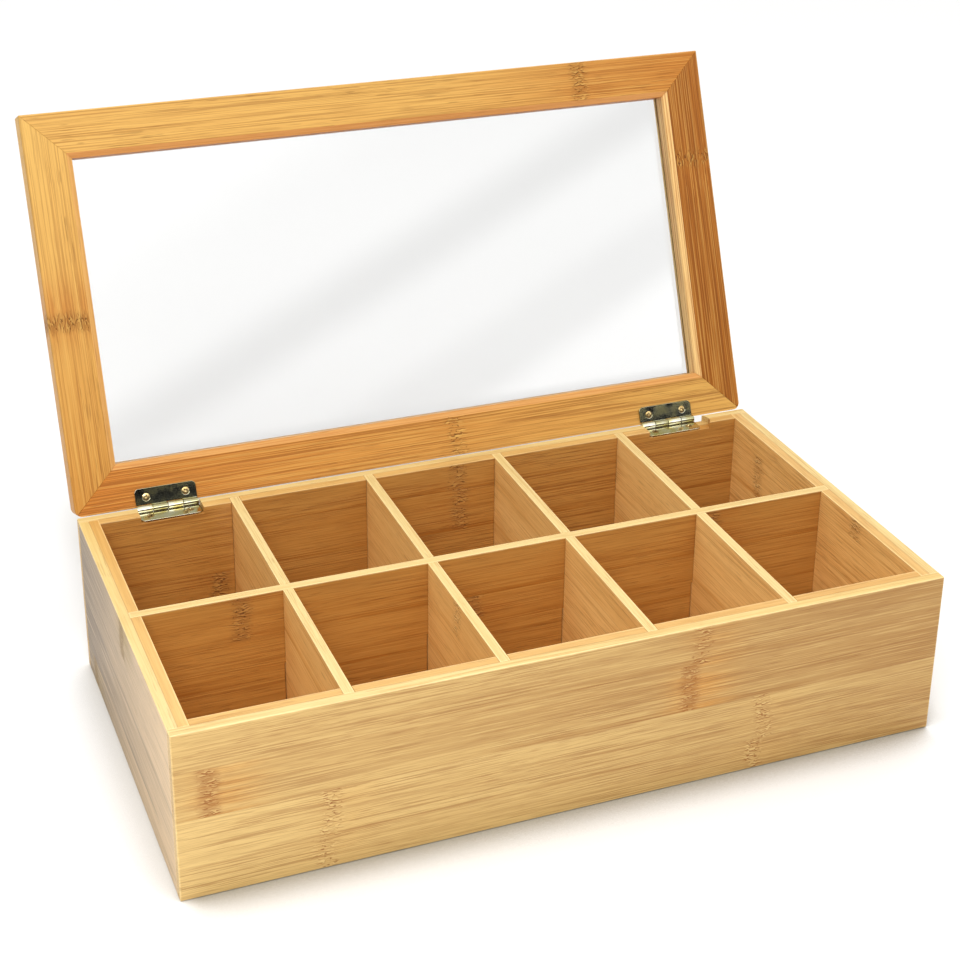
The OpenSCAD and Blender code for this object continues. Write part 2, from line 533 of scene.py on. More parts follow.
class GroupBuilder:
    """A shader node group while its inside is being wired."""

    KINDS = {
        "vector": "NodeSocketVector",
        "value": "NodeSocketFloat",
        "colour": "NodeSocketColor",
    }

    def __init__(
        self,
        name: str,
        inputs: dict[str, tuple[str, ...]],
        outputs: dict[str, tuple[str, ...]],
    ) -> None:
        """Makes a group with named sockets.

        Args:
            name: The group's name.
            inputs: Names of the inputs by their kind.
            outputs: Names of the outputs by their kind.
        """
        self.tree = bpy.data.node_groups.new(name, "ShaderNodeTree")
        for side, sockets in (("INPUT", inputs), ("OUTPUT", outputs)):
            for kind, labels in sockets.items():
                for label in labels:
                    self.tree.interface.new_socket(
                        name=label, in_out=side, socket_type=self.KINDS[kind]
                    )
        self.wire = Wiring(self.tree)
        self.entry = self.wire.named(self.wire.add("NodeGroupInput"))
        self.exit = self.wire.add("NodeGroupOutput").inputs

    def give(self, **results: Source) -> bpy.types.NodeTree:
        """Feeds the group's outputs.

        Args:
            **results: Signals by output name, with _ for a space.

        Returns:
            The finished group.
        """
        for name, value in results.items():
            self.wire.feed(self.exit[name.replace("_", " ")], value)
        return self.tree


class SharedGroups:
    """The node groups that several finishes share, each built once."""

    HUES = ("Pale", "Deep", "Streak", "Blush", "Mark")

    def __init__(self) -> None:
        """Builds the groups."""
        self.layers = self._layers()
        self.bamboo = self._bamboo()
        self.arris = self._arris()
        self.handling = self._handling()

    @staticmethod
    def _layers() -> bpy.types.NodeTree:
        """Tells which glued strip, ply and cut a point of a board lies in.

        The strip is floor((across - start) / width). A glue line shows where the point
        is a fraction of a millimetre from such a step, and so between two plies. The
        cut faces are those before one place across the board and past another.

        Returns:
            The group.
        """
        values = ("Start", "Width", "Count", "Ply", "Ply Shift", "Ply Line")
        build = GroupBuilder(
            "glued_layers",
            {"vector": ("Position",), "value": (*values, "Cut Before", "Cut Past")},
            {"value": ("Lookup", "Strip", "Inner Ply", "Joint", "Shoulder", "Cut")},
        )
        wire, entry = build.wire, build.entry
        _, across, depth = wire.parts(entry["Position"])
        ply_place = depth / entry["Ply"]
        inner = wire.math("GREATER_THAN", ply_place, 1.0)
        place = (across - entry["Start"] + inner * entry["Ply Shift"]) / entry["Width"]
        strip = wire.math("FLOOR", place)
        lookup = wire.math("DIVIDE", strip + 0.5, entry["Count"], clamp=True)
        cut_before = wire.math("LESS_THAN", across, entry["Cut Before"])
        cut_past = wire.math("GREATER_THAN", across, entry["Cut Past"])
        cut = wire.math("MAXIMUM", cut_before, cut_past)
        off_strip = abs(place - wire.math("ROUND", place)) * entry["Width"]
        off_ply = abs(ply_place - 1.0) * entry["Ply"]
        strip_line = wire.between(off_strip, 0.5 * MM, 0.1 * MM) * (0.4 - cut)
        ply_line = wire.between(off_ply, 0.4 * MM, 0.1 * MM) * entry["Ply Line"]
        return build.give(
            Lookup=lookup,
            Strip=strip,
            Inner_Ply=inner,
            Joint=wire.math("MAXIMUM", strip_line, ply_line, clamp=True),
            Shoulder=wire.between(place - strip, 0.84, 0.97),
            Cut=cut,
        )

    @classmethod
    def _bamboo(cls) -> bpy.types.NodeTree:
        """Grows bamboo in board coordinates: X along the grain, Y across, Z into the board.

        Zones, streaks and fibres are noise that is stretched along the grain. Round a
        node of the cane the fibres wave and break into short dark and light dashes, and
        the tone deepens. The light dashes stand up in the relief and carry a painted
        highlight, and the dark dash just below each is its painted shadow.

        Returns:
            The group.
        """
        strip = ("Tone", "Node One", "Node Two", "Tint")
        board = ("Lines", "Zones", "Length", "Seed")
        build = GroupBuilder(
            "laminated_bamboo",
            {
                "vector": ("Position",),
                "value": (*strip, *board, "Joint", "Shoulder", "Cut"),
                "colour": cls.HUES,
            },
            {"colour": ("Color",), "value": ("Roughness", "Height")},
        )
        wire, entry = build.wire, build.entry
        tint, lines, zones = entry["Tint"], entry["Lines"], entry["Zones"]
        seeds = wire.vector(*(entry["Seed"] * step for step in (0.731, 0.317, 0.193)))
        place = wire.vectors("ADD", entry["Position"], seeds)
        along = wire.parts(entry["Position"])[0]

        def swing(
            cells: tuple[float, float, float], reach: float, octaves: float = 1.0
        ) -> Signal:
            """Gives noise that swings by half a reach to each side."""
            return (wire.noise(place, cells, octaves) - 0.5) * reach

        # A node's line wanders over the strip, and its halo reaches further to one side.
        wander = swing((3, 60, 60), 8 * MM) + swing((50, 480, 480), 5 * MM, 2)
        cores, halos = [], []
        for node in (entry["Node One"], entry["Node Two"]):
            off = along + wander - node
            cores.append(wire.between(abs(off), 7.0 * MM, 1.5 * MM))
            beside = wire.between(abs(off - 6 * MM), 32 * MM, 1 * MM)
            halos.append(wire.math("POWER", beside, 1.6))
        # Hardly anything of a node shows on a cut face.
        face = 1.0 - entry["Cut"] * 0.9
        core = wire.math("MAXIMUM", *cores) * face
        halo = wire.math("MAXIMUM", *halos) * face
        sway = swing((4, 24, 24), 1.3 * MM) + swing((90, 300, 300), 0.8 * MM, 2) * halo

        def bent(aside: float) -> Signal:
            """Gives the place in the grain, a little aside across the board."""
            return wire.vectors("ADD", place, wire.vector(0.0, sway + aside, sway))

        # Few cells to the metre along the grain and many across it draw the fibres.
        grain = bent(0.0)
        squeeze = wire.vector(1.0 / entry["Length"], 1.0, 1.0)
        drawn = wire.vectors("MULTIPLY", grain, squeeze)
        zone = wire.noise(drawn, (5, 90, 90), 2)
        streak = wire.noise(drawn, (9, 400, 400), 2)
        fibre = wire.noise(drawn, (22, 1500, 1500), 1)
        hair = wire.noise(drawn, (90, 2600, 2600), 1)
        thick = wire.between(wire.noise(drawn, (10, 150, 150), 1), 0.36, 0.62)
        pore = wire.noise(grain, (70, 1400, 1400), 1)
        patch = wire.noise(place, (14, 80, 80), 1)
        dash = wire.noise(grain, (300, 1150, 1150), 1)
        shade = wire.noise(bent(-0.45 * MM), (300, 1150, 1150), 1)
        dot = wire.noise(place, (600, 900, 900), 0)
        clump = wire.between(wire.noise(place, (150, 330, 330), 1), 0.38, 0.60)
        clump = (clump * 0.7 + 0.3) * core

        # The tone goes from pale to deep, and the cane blushes beside a node.
        zoned = (zone - 0.5) * zones * 0.75 + entry["Shoulder"] * thick * 0.4
        tone = wire.math("ADD", zoned, entry["Tone"], clamp=True)
        colour = wire.mixed(tone, entry["Pale"], entry["Deep"])
        blushed = wire.math("MULTIPLY", tint * 0.62 + 0.06, thick + 0.4, clamp=True)
        colour = wire.mixed(halo * blushed, colour, entry["Blush"])

        # Each kind of mark is laid over by its mask, its share, its colour and a blend.
        threads = wire.between(fibre, 0.51, 0.60) * lines * ((thick - 0.65) * zones + 1.0)
        pores = wire.between(pore, 0.60, 0.70) * wire.between(patch, 0.42, 0.6)
        # The raised dashes get a painted highlight and a painted shadow just below them.
        raised = wire.between(dash, 0.50, 0.58)
        lit = raised * clump
        shaded = wire.between(shade, 0.48, 0.56) * clump * (1.0 - raised)
        strong = wire.math("MULTIPLY", lines, 0.9, clamp=True)
        for mask, share, over, mode in (
            (wire.between(streak, 0.52, 0.66) * zones, 0.15, "Streak", "MIX"),
            (wire.between(fibre, 0.46, 0.34), 0.35, "Pale", "LIGHTEN"),
            (threads, 0.36, "Streak", "MIX"),
            (wire.between(hair, 0.48, 0.66) * lines, 0.24, "Streak", "MIX"),
            (pores, 0.30, "Mark", "MIX"),
            (core * tint, 0.60, "Mark", "MIX"),
            # Painted highlight on the raised dashes, then their painted shadow.
            (lit * strong, 0.42, "Pale", "SCREEN"),
            (shaded * strong, 0.95, "Mark", "MIX"),
            (wire.between(dot, 0.69, 0.75) * core, 0.70, "Mark", "MIX"),
            (entry["Joint"], 0.30, "Mark", "MIX"),
        ):
            colour = wire.mixed(mask * share, colour, entry[over], mode)

        sunk = pores * 0.35 + entry["Joint"] + threads * 0.30
        rough = fibre * 0.14 + 0.36 + core * 0.10
        return build.give(Color=colour, Roughness=rough, Height=lit * 0.9 - sunk)

    @staticmethod
    def _arris() -> bpy.types.NodeTree:
        """Marks a strip along the edges of a board's box.

        The three distances from a point to the nearer face of each pair are sorted. On
        the surface the least is nothing, so the middle one is the way to the next edge.

        Returns:
            The group.
        """
        build = GroupBuilder(
            "arris_wear_and_light",
            {"vector": ("Position", "Size"), "value": ("Width",)},
            {"value": ("Mask",)},
        )
        wire, entry = build.wire, build.entry
        places, sizes = wire.parts(entry["Position"]), wire.parts(entry["Size"])
        ways = [abs(wire.math("MINIMUM", at, size - at)) for at, size in zip(places, sizes)]
        low, high = wire.math("MINIMUM", *ways[:2]), wire.math("MAXIMUM", *ways[:2])
        middle = wire.math("MAXIMUM", low, wire.math("MINIMUM", high, ways[2]))
        ragged = (wire.noise(entry["Position"], (120, 400, 400), 3) - 0.5) * entry["Width"]
        return build.give(Mask=wire.between((middle + ragged) / entry["Width"], 1.0, 0.2))

    @staticmethod
    def _handling() -> bpy.types.NodeTree:
        """Gives bright metal fine scratches and cloudy smudges.

        The scratches are noise stretched sixty times along one axis, and the clouds are
        broad noise. Both change the gloss, and the clouds change the tint.

        Returns:
            The group.
        """
        build = GroupBuilder(
            "handled_metal",
            {"vector": ("Position",), "value": ("Gloss",), "colour": ("Clean", "Tinted")},
            {"colour": ("Color",), "value": ("Roughness", "Height")},
        )
        wire, entry = build.wire, build.entry
        cloud = wire.noise(entry["Position"], (160, 160, 160), 3)
        scratch = wire.noise(entry["Position"], (90, 5200, 5200), 2)
        stain = wire.between(cloud, 0.38, 0.66)
        colour = wire.mixed(stain, entry["Clean"], entry["Tinted"])
        rough = entry["Gloss"] + stain * 0.05 + scratch * 0.05
        return build.give(Color=colour, Roughness=rough, Height=scratch)


# --- Finishes -----------------------------------------------------------------------


@dataclass(frozen=True)
class Strip:
    """One strip of cane in a board.

    Attributes:
        tone: From 0, pale, to 1, deep.
        node_one: Place of a node of the cane along the grain.
        node_two: Place of the next one; outside the board where there is none.
        tint: How dark the nodes are, from 0 to 1.
    """

    tone: float
    node_one: float
    node_two: float = NO_NODE
    tint: float = 0.3

    def row(self) -> tuple[float, float, float, float]:
        """Packs the strip into the colour of a ramp's stop."""
        return (self.tone, self.node_one, self.node_two, self.tint)


@dataclass(frozen=True)
class Layup:
    """How a board is glued up from strips and plies.

    Attributes:
        strips: Its strips, in order across the board.
        start: Where the first strip starts, from the board's edge.
        width: Width of a strip.
        ply: Thickness of the outer ply.
        ply_shift: How far the strips of the inner ply are set over.
        ply_line: How much of the glue line between the plies shows.
        cut_before: The faces nearer than this to the board's edge are cut faces.
        cut_past: So are those further than this.
        deepens: How much the tone deepens over a metre of the grain.
        deepens_past: Place along the grain where that starts.
        lines: Contrast of the fibres.
        zones: Contrast of the broad zones and streaks.
        length: How long the fibres are, as a share of the usual length.
        seed: Number that sets the board's own grain.
    """

    strips: tuple[Strip, ...]
    start: float = -4.7 * MM
    width: float = 24.7 * MM
    ply: float = 5.0 * MM
    ply_shift: float = 9.0 * MM
    ply_line: float = 1.0
    cut_before: float = 0.35 * MM
    cut_past: float = 1.0
    deepens: float = 0.0
    deepens_past: float = 0.0
    lines: float = 1.0
    zones: float = 1.0
    length: float = 1.0
    seed: float = 1.0

    def read(self, wire: Wiring, lookup: Signal) -> tuple[Signal, Signal, Signal, Signal]:
        """Wires the table of the strips, with one flat stop of a ramp for each.

        Args:
            wire: The material's tree.
            lookup: Place in the table, from 0 to 1.

        Returns:
            Tone, node one, node two and tint of the strip.
        """
        table = wire.add("ShaderNodeValToRGB", {0: lookup})
        table.color_ramp.interpolation = "CONSTANT"
        stops = table.color_ramp.elements
        for number, strip in enumerate(self.strips):
            place = number / len(self.strips)
            stop = stops[0] if number == 0 else stops.new(place)
            stop.position, stop.color = place, strip.row()
        stops.remove(stops[-1])
        row, tint = wire.named(table).values()
        columns = wire.named(wire.add("ShaderNodeSeparateColor", {0: row}))
        return (*columns.values(), tint)


@dataclass(frozen=True)
class BoardFrame:
    """A board's own axes: along the grain, across it, and into the board.

    Attributes:
        origin: The corner that all three are measured from.
        grain: Unit vector along the grain.
        across: Unit vector across the strips.
        size: The board's length, width and thickness.
    """

    origin: Vector
    grain: Vector
    across: Vector
    size: tuple[float, float, float]

    @staticmethod
    def of_box(
        low: Vector, high: Vector, grain: Vector, across: Vector
    ) -> "BoardFrame":
        """Finds the frame of a board from its box and two directions.

        Args:
            low: The box's lowest corner.
            high: Its highest corner.
            grain: Direction of the grain, along an axis.
            across: Direction across the strips, along an axis.

        Returns:
            The frame, whose origin is the corner where all three axes start.
        """
        depth = grain.cross(across)
        toward = grain + across + depth
        origin = Vector([low[i] if toward[i] > 0 else high[i] for i in range(3)])
        span = high - low
        size = tuple(abs(span.dot(axis)) for axis in (grain, across, depth))
        return BoardFrame(origin, grain, across, size)

    def turned(self, matrix: Matrix) -> "BoardFrame":
        """Carries the frame along with a board that turns."""
        turn = matrix.to_3x3()
        grain, across = turn @ self.grain, turn @ self.across
        return BoardFrame(matrix @ self.origin, grain, across, self.size)

    def position(self, wire: Wiring) -> Signal:
        """Wires Object coordinates into board coordinates.

        Args:
            wire: The material's tree.

        Returns:
            The vector (along, across, depth).
        """
        axes = Matrix((self.grain, self.across, self.grain.cross(self.across))).transposed()
        place, turn = tuple(self.origin), tuple(axes.to_euler())
        feeds = {"Vector": wire.here(), "Location": place, "Rotation": turn}
        return wire.first("ShaderNodeMapping", feeds, vector_type="TEXTURE")


@dataclass(frozen=True)
class Palette:
    """The colours of one face of the bamboo.

    Attributes:
        pale: Colour of the pale zones and of the painted highlights on the dashes.
        deep: Colour of the deep zones.
        streak: Colour of the streaks.
        blush: Colour that the cane takes on beside a node.
        mark: Colour of pores, nodes, glue lines and the painted shadows of the dashes.
    """

    pale: str
    deep: str
    streak: str
    blush: str
    mark: str


@dataclass(frozen=True)
class BambooFinish:
    """Satin-lacquered laminated bamboo.

    Attributes:
        face: Colours of the outer ply's faces.
        inner: Colours of the inner ply's faces.
        cut: Colours of the outer ply where it is cut and sanded.
        inner_cut: Colours of the inner ply where it is cut and sanded.
        edge_wear_and_light: Colour along the eased edges, sanded wear with a painted highlight.
        edge_wear_and_light_share: Share of that colour.
        shine: Strength of the lacquer's mirror.
        arris: Width of the strip of wear and painted highlight along an edge.
        relief: Height of the grain's relief.
    """

    face: Palette
    inner: Palette
    cut: Palette
    inner_cut: Palette
    edge_wear_and_light: str = "FFE3A6"
    edge_wear_and_light_share: float = 0.35
    shine: float = 0.4
    arris: float = 0.9 * MM
    relief: float = 0.16 * MM

    def _colours(self, wire: Wiring, inner: Signal, cut: Signal) -> dict[str, Signal]:
        """Chooses each colour by the ply and the cut.

        Args:
            wire: The material's tree.
            inner: 1 on the inner ply.
            cut: 1 on the cut faces.

        Returns:
            The five colours by the bamboo group's input.
        """
        chosen = {}
        palettes = (self.face, self.inner, self.cut, self.inner_cut)
        for key in SharedGroups.HUES:
            hues = [srgb(getattr(palette, key.lower())) for palette in palettes]
            face, end = wire.mixed(inner, *hues[:2]), wire.mixed(inner, *hues[2:])
            chosen[key] = wire.mixed(cut, face, end)
        return chosen

    def material(
        self, name: str, groups: SharedGroups, board: BoardFrame, layup: Layup
    ) -> bpy.types.Material:
        """Makes the material of one board.

        Args:
            name: The material's name.
            groups: The shared node groups.
            board: The board's own axes.
            layup: How it is glued up.

        Returns:
            The material.
        """
        made, wire, shader = new_material(name)
        here = board.position(wire)
        sizes = ("start", "width", "ply", "ply_shift", "ply_line", "cut_before", "cut_past")
        feeds = {size.replace("_", " ").title(): getattr(layup, size) for size in sizes}
        feeds |= {"Position": here, "Count": float(len(layup.strips))}
        layers = wire.group(groups.layers, feeds)
        tone, node_one, node_two, tint = layup.read(wire, layers["Lookup"])
        past = wire.math("MAXIMUM", wire.parts(here)[0] - layup.deepens_past, 0.0)
        feeds = {key: layers[key] for key in ("Joint", "Shoulder", "Cut")}
        feeds |= {
            "Position": here,
            "Tone": tone + past * layup.deepens,
            "Node One": node_one,
            "Node Two": node_two,
            "Tint": tint,
            "Lines": layup.lines,
            "Zones": layup.zones,
            "Length": layup.length,
            "Seed": layers["Strip"] * 1.7 + layers["Inner Ply"] * 3.1 + layup.seed * 5.3,
        }
        feeds |= self._colours(wire, layers["Inner Ply"], layers["Cut"])
        bamboo = wire.group(groups.bamboo, feeds)
        # The eased edges take a paler colour: sanded wear with a painted highlight.
        feeds = {"Position": here, "Size": board.size, "Width": self.arris}
        edge_wear_and_light = wire.group(groups.arris, feeds)["Mask"] * self.edge_wear_and_light_share
        colour = wire.mixed(edge_wear_and_light, bamboo["Color"], srgb(self.edge_wear_and_light))
        wire.feed(shader.inputs["Base Color"], colour)
        wire.feed(shader.inputs["Roughness"], bamboo["Roughness"])
        normal = wire.bump(bamboo["Height"], self.relief, strength=0.55)
        wire.feed(shader.inputs["Normal"], normal)
        shader.inputs["Specular IOR Level"].default_value = self.shine
        return made


@dataclass(frozen=True)
class MetalFinish:
    """A bright plated metal.

    Attributes:
        clean: Colour of the clean metal.
        tinted: Colour where the plating has a tint.
        gloss: Roughness of the clean metal.
        relief: Depth of the scratches.
    """

    clean: str
    tinted: str
    gloss: float
    relief: float = 0.01 * MM

    def material(self, name: str, groups: SharedGroups) -> bpy.types.Material:
        """Makes the metal's material.

        Args:
            name: The material's name.
            groups: The shared node groups.

        Returns:
            The material.
        """
        made, wire, shader = new_material(name)
        feeds = {
            "Position": wire.here(),
            "Clean": srgb(self.clean),
            "Tinted": srgb(self.tinted),
            "Gloss": self.gloss,
        }
        handled = wire.group(groups.handling, feeds)
        wire.feed(shader.inputs["Base Color"], handled["Color"])
        wire.feed(shader.inputs["Roughness"], handled["Roughness"])
        normal = wire.bump(handled["Height"], self.relief, strength=0.25)
        wire.feed(shader.inputs["Normal"], normal)
        shader.inputs["Metallic"].default_value = 1.0
        return made


@dataclass(frozen=True)
class AcrylicFinish:
    """Clear polished acrylic sheet.

    Attributes:
        tint: Colour that the sheet passes.
        index: Its refractive index.
        relief: Height of its slow waves.
        haze: Greatest roughness.
    """

    tint: str = "EAEAEA"
    index: float = 1.49
    relief: float = 0.2 * MM
    haze: float = 0.004

    def material(self, name: str) -> bpy.types.Material:
        """Makes the sheet's material, with a faint unevenness from the rolling.

        Args:
            name: The material's name.

        Returns:
            The material.
        """
        made, wire, shader = new_material(name)
        wave = wire.noise(wire.here(), (9, 9, 9), 1)
        wire.feed(shader.inputs["Roughness"], wave * self.haze)
        wire.feed(shader.inputs["Normal"], wire.bump(wave, self.relief, strength=0.1))
        shader.inputs["Base Color"].default_value = srgb(self.tint)
        shader.inputs["Transmission Weight"].default_value = 1.0
        shader.inputs["IOR"].default_value = self.index
        return made


def new_material(name: str) -> tuple[bpy.types.Material, Wiring, bpy.types.Node]:
    """Starts a material.

    Args:
        name: The material's name.

    Returns:
        The material, its wiring and its Principled BSDF.
    """
    made = bpy.data.materials.new(name)
    made.use_nodes = True
    shader = made.node_tree.nodes["Principled BSDF"]
    return made, Wiring(made.node_tree), shader


WALL_FACE = Palette("DBB976", "AD8144", "94642D", "CC8E3C", "8A4C0C")
# The left wall's palette is a greyer, darker copy of the wall's: painted shade with a painted
# sheen.
SHADE_AND_SHEEN_SIDE_FACE = Palette("DBBA8C", "786349", "6A5538", "A08038", "7A5A20")
# The cut faces are paler, partly the cut bamboo's own colour and partly painted light on the
# tops.
OUTER_CUT = Palette("DCC488", "D8B872", "B88A44", "D2AE68", "96602A")
INNER_CUT = Palette("D8B06C", "CC9C54", "A87838", "C89A60", "96602A")
# A darker brown copy of the bamboo for faces inside the box: painted shade.
SHADED_BROWN_FACE = Palette("C8944B", "A76A24", "834912", "9D5819", "572C05")
TAN_FACE = Palette("F6CC82", "DEA657", "B1742D", "C88338", "7B440D")
RAIL_FACE = Palette("DCAF5C", "B5640F", "7C420A", "AC5D11", "572803")
RAIL_CUT = Palette("D89A5A", "D89A5A", "B87030", "D89A5A", "763C0C")
WALL = BambooFinish(WALL_FACE, TAN_FACE, OUTER_CUT, INNER_CUT)
# The left wall's finish carries that painted shade and sheen.
SIDE = BambooFinish(SHADE_AND_SHEEN_SIDE_FACE, TAN_FACE, OUTER_CUT, INNER_CUT)
# The back wall's inner face takes that painted shade.
BACK = BambooFinish(WALL_FACE, SHADED_BROWN_FACE, OUTER_CUT, INNER_CUT, edge_wear_and_light_share=0.12)
# The bottom panel and the long divider take that painted shade.
INSIDE = BambooFinish(SHADED_BROWN_FACE, SHADED_BROWN_FACE, OUTER_CUT, OUTER_CUT)
DIVIDER = BambooFinish(TAN_FACE, TAN_FACE, OUTER_CUT, OUTER_CUT)
# The box's leaves and pins take a brighter copy of the nickel and the lid's leaves a darker one:
# painted reflection.
NICKEL = {
    Body.BOX: MetalFinish("C8C6B4", "BFB582", 0.06),
    Body.LID: MetalFinish("A09F8B", "98926A", 0.035),
}
BRASS = MetalFinish("B8A476", "8E7444", 0.17)


# --- Boards -------------------------------------------------------------------------


@dataclass(frozen=True)
class Board:
    """One eased board that stands for a construction node.

    Attributes:
        node: The node's name.
        body: The body that it rides on.
        slot: The record's material slot.
        finish: The bamboo's colours.
        axes: The board's own axes.
        layup: How it is glued up.
        arris: Rounding of the edges that stand free.
        joint: Rounding of the edges that meet another board.
        smallest: Shortest edge that is rounded.
        open_under: Upright edges below this height are rounded as much as free ones.
    """

    node: str
    body: Body
    slot: Finish
    finish: BambooFinish
    axes: BoardFrame
    layup: Layup
    arris: float = 0.6 * MM
    joint: float = 0.18 * MM
    smallest: float = 0.25 * MM
    open_under: float = 0.0

    def build(self, groups: SharedGroups, outline: "Outline") -> bpy.types.Object:
        """Makes the board and dresses it.

        Args:
            groups: The shared node groups.
            outline: Tells which edges stand free.

        Returns:
            The board.
        """
        made = make_object(self.node + "_board", board_mesh(self.node))
        ends = edge_ends(made.data)
        lengths = np.linalg.norm(ends[:, 0] - ends[:, 1], axis=1)
        sharp = sharp_edges(made.data) & (lengths > self.smallest)
        upright = np.abs(ends[:, 0, :2] - ends[:, 1, :2]).max(axis=1) < 0.01 * MM
        opened = upright & (ends[:, :, 2].max(axis=1) < self.open_under)
        share = np.where(outline.on_rim(ends) | opened, 1.0, self.joint / self.arris)
        ease_edges(made, sharp * share, self.arris)
        name = f"{self.slot.value}_{self.node}"
        look = self.finish.material(name, groups, self.axes, self.layup)
        made.data.materials.append(look)
        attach(made, self.body.value)
        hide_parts(self.node)
        LOG.info("board %s: %d edges eased", self.node, int(sharp.sum()))
        return made


@dataclass(frozen=True)
class Outline:
    """Edges of an assembly that are rounded by hand after it is glued.

    Attributes:
        low: Lowest corner of the assembly's box, before it is turned.
        high: Highest corner.
        back_turn: Matrix that takes a place back to where that box is upright.
        near: How close to a side counts as on it.
    """

    low: Vector
    high: Vector
    back_turn: Matrix = field(default_factory=lambda: Matrix.Identity(4))
    near: float = 0.02 * MM

    def on_rim(self, ends: np.ndarray) -> np.ndarray:
        """Tells which edges lie along an edge of the assembly's box.

        An edge does if two of its coordinates stay on the box's sides.

        Args:
            ends: Places of shape (edges, 2, 3).

        Returns:
            One truth value for each edge.
        """
        table = np.array(self.back_turn)
        places = ends @ table[:3, :3].T + table[:3, 3]
        low = np.abs(places - np.array(self.low)) < self.near
        high = np.abs(places - np.array(self.high)) < self.near
        on_side = low.all(axis=1) | high.all(axis=1)
        return on_side.sum(axis=1) >= 2


X_AXIS, Y_AXIS, Z_AXIS = Vector((1, 0, 0)), Vector((0, 1, 0)), Vector((0, 0, 1))


@dataclass(frozen=True)
class Chest:
    """The walls and the bottom panel.

    Attributes:
        nodes: The walls' construction nodes.
        front: How the front wall is glued up.
        back: The back wall.
        left: The left wall.
        right: The right wall.
        panel_strips: Number of strips in the bottom panel.
    """

    nodes: tuple[str, ...] = ("front_wall", "back_wall", "left_wall", "right_wall")
    front: Layup = Layup(
        (
            Strip(0.265, 0.250, tint=0.30),
            Strip(0.30, 0.0147, 0.2448, tint=0.75),
            Strip(0.02, 0.0686, 0.2845, tint=0.05),
            Strip(0.07, 0.0658, 0.2806, tint=0.05),
        ),
        # The tone deepens toward the right end: painted shade.
        deepens=1.85,
        seed=1.0,
    )
    back: Layup = Layup(
        (
            Strip(0.35, 0.178, tint=0.2),
            Strip(0.42, 0.176, tint=0.2),
            Strip(0.34, 0.31),
            Strip(0.40, 0.09),
        ),
        seed=2.0,
        ply_shift=4.7 * MM,
    )
    # The left wall is deep at the back and pales toward the front: painted shade and a painted
    # sheen.
    left: Layup = Layup(
        (
            Strip(0.95, 0.101, tint=0.9),
            Strip(1.0, NO_NODE),
            Strip(1.05, NO_NODE),
            Strip(1.0, 0.018, tint=0.4),
        ),
        deepens=-5.0,
        lines=0.5,
        zones=0.45,
        seed=3.0,
    )
    right: Layup = Layup(
        (Strip(0.35, 0.06), Strip(0.42, 0.16), Strip(0.32, 0.02), Strip(0.4, 0.12)),
        seed=4.0,
    )
    panel_strips: int = 8

    def build(self, groups: SharedGroups) -> list[bpy.types.Object]:
        """Makes the chest.

        Args:
            groups: The shared node groups.

        Returns:
            Its boards.
        """
        low = Vector(map(min, *(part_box(node)[0] for node in self.nodes)))
        high = Vector(map(max, *(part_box(node)[1] for node in self.nodes)))
        outline = Outline(low, high)
        directions = {
            "front_wall": (X_AXIS, WALL, self.front),
            "back_wall": (-X_AXIS, BACK, self.back),
            "left_wall": (-Y_AXIS, SIDE, self.left),
            "right_wall": (Y_AXIS, WALL, self.right),
        }
        made = []
        for node, (grain, finish, layup) in directions.items():
            axes = BoardFrame.of_box(*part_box(node), grain, -Z_AXIS)
            board = Board(node, Body.BOX, Finish.WALL, finish, axes, layup)
            made.append(board.build(groups, outline))
        axes = BoardFrame.of_box(*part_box("bottom_panel"), X_AXIS, Y_AXIS)
        # The tone steps through four values, and the nodes lie scattered.
        strips = tuple(
            Strip(0.3 + 0.1 * (i % 4), 0.05 + 0.13 * (i * 5 % 7) / 2)
            for i in range(self.panel_strips)
        )
        layup = Layup(strips, ply=ONE_PLY, cut_before=NO_CUT, seed=5.0)
        panel = Board("bottom_panel", Body.BOX, Finish.INSIDE, INSIDE, axes, layup)
        made.append(panel.build(groups, outline))
        return made


@dataclass(frozen=True)
class DividerGrid:
    """The long divider and the cross dividers, half-lapped into each other.

    Attributes:
        cross_count: Number of cross dividers.
        lap: Height under which the long divider's slots are open.
        noded: The cross divider whose top strip shows a node of the cane.
        node_place: Place of that node along the grain.
        long: How the long divider is glued up.
    """

    cross_count: int = 4
    lap: float = 47 * MM
    noded: int = 2
    node_place: float = 0.14
    long: Layup = Layup(
        (
            Strip(0.42, 0.052, 0.30, tint=0.4),
            Strip(0.46, 0.17),
            Strip(0.40, 0.25),
            Strip(0.46, 0.12),
        ),
        start=-1.0 * MM,
        ply=ONE_PLY,
        lines=0.7,
        seed=6.0,
    )

    def build(self, groups: SharedGroups) -> list[bpy.types.Object]:
        """Makes the dividers.

        Args:
            groups: The shared node groups.

        Returns:
            The dividers.
        """
        outline = Outline(*CAD_BOX)
        axes = BoardFrame.of_box(*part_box("long_divider"), X_AXIS, -Z_AXIS)
        board = Board(
            "long_divider",
            Body.BOX,
            Finish.INSIDE,
            INSIDE,
            axes,
            self.long,
            open_under=self.lap,
        )
        made = [board.build(groups, outline)]
        for number in range(1, self.cross_count + 1):
            node = f"cross_divider_{number}"
            axes = BoardFrame.of_box(*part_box(node), -Y_AXIS, -Z_AXIS)
            places = [self.node_place if number == self.noded else NO_NODE] + [NO_NODE] * 3
            strips = tuple(
                Strip(0.25 + 0.06 * ((number + i) % 4), place, tint=0.05)
                for i, place in enumerate(places)
            )
            start = -3.0 * MM * number
            layup = Layup(strips, start=start, ply=ONE_PLY, lines=0.7, seed=6.0 + number)
            board = Board(node, Body.BOX, Finish.INSIDE, DIVIDER, axes, layup)
            made.append(board.build(groups, outline))
        return made


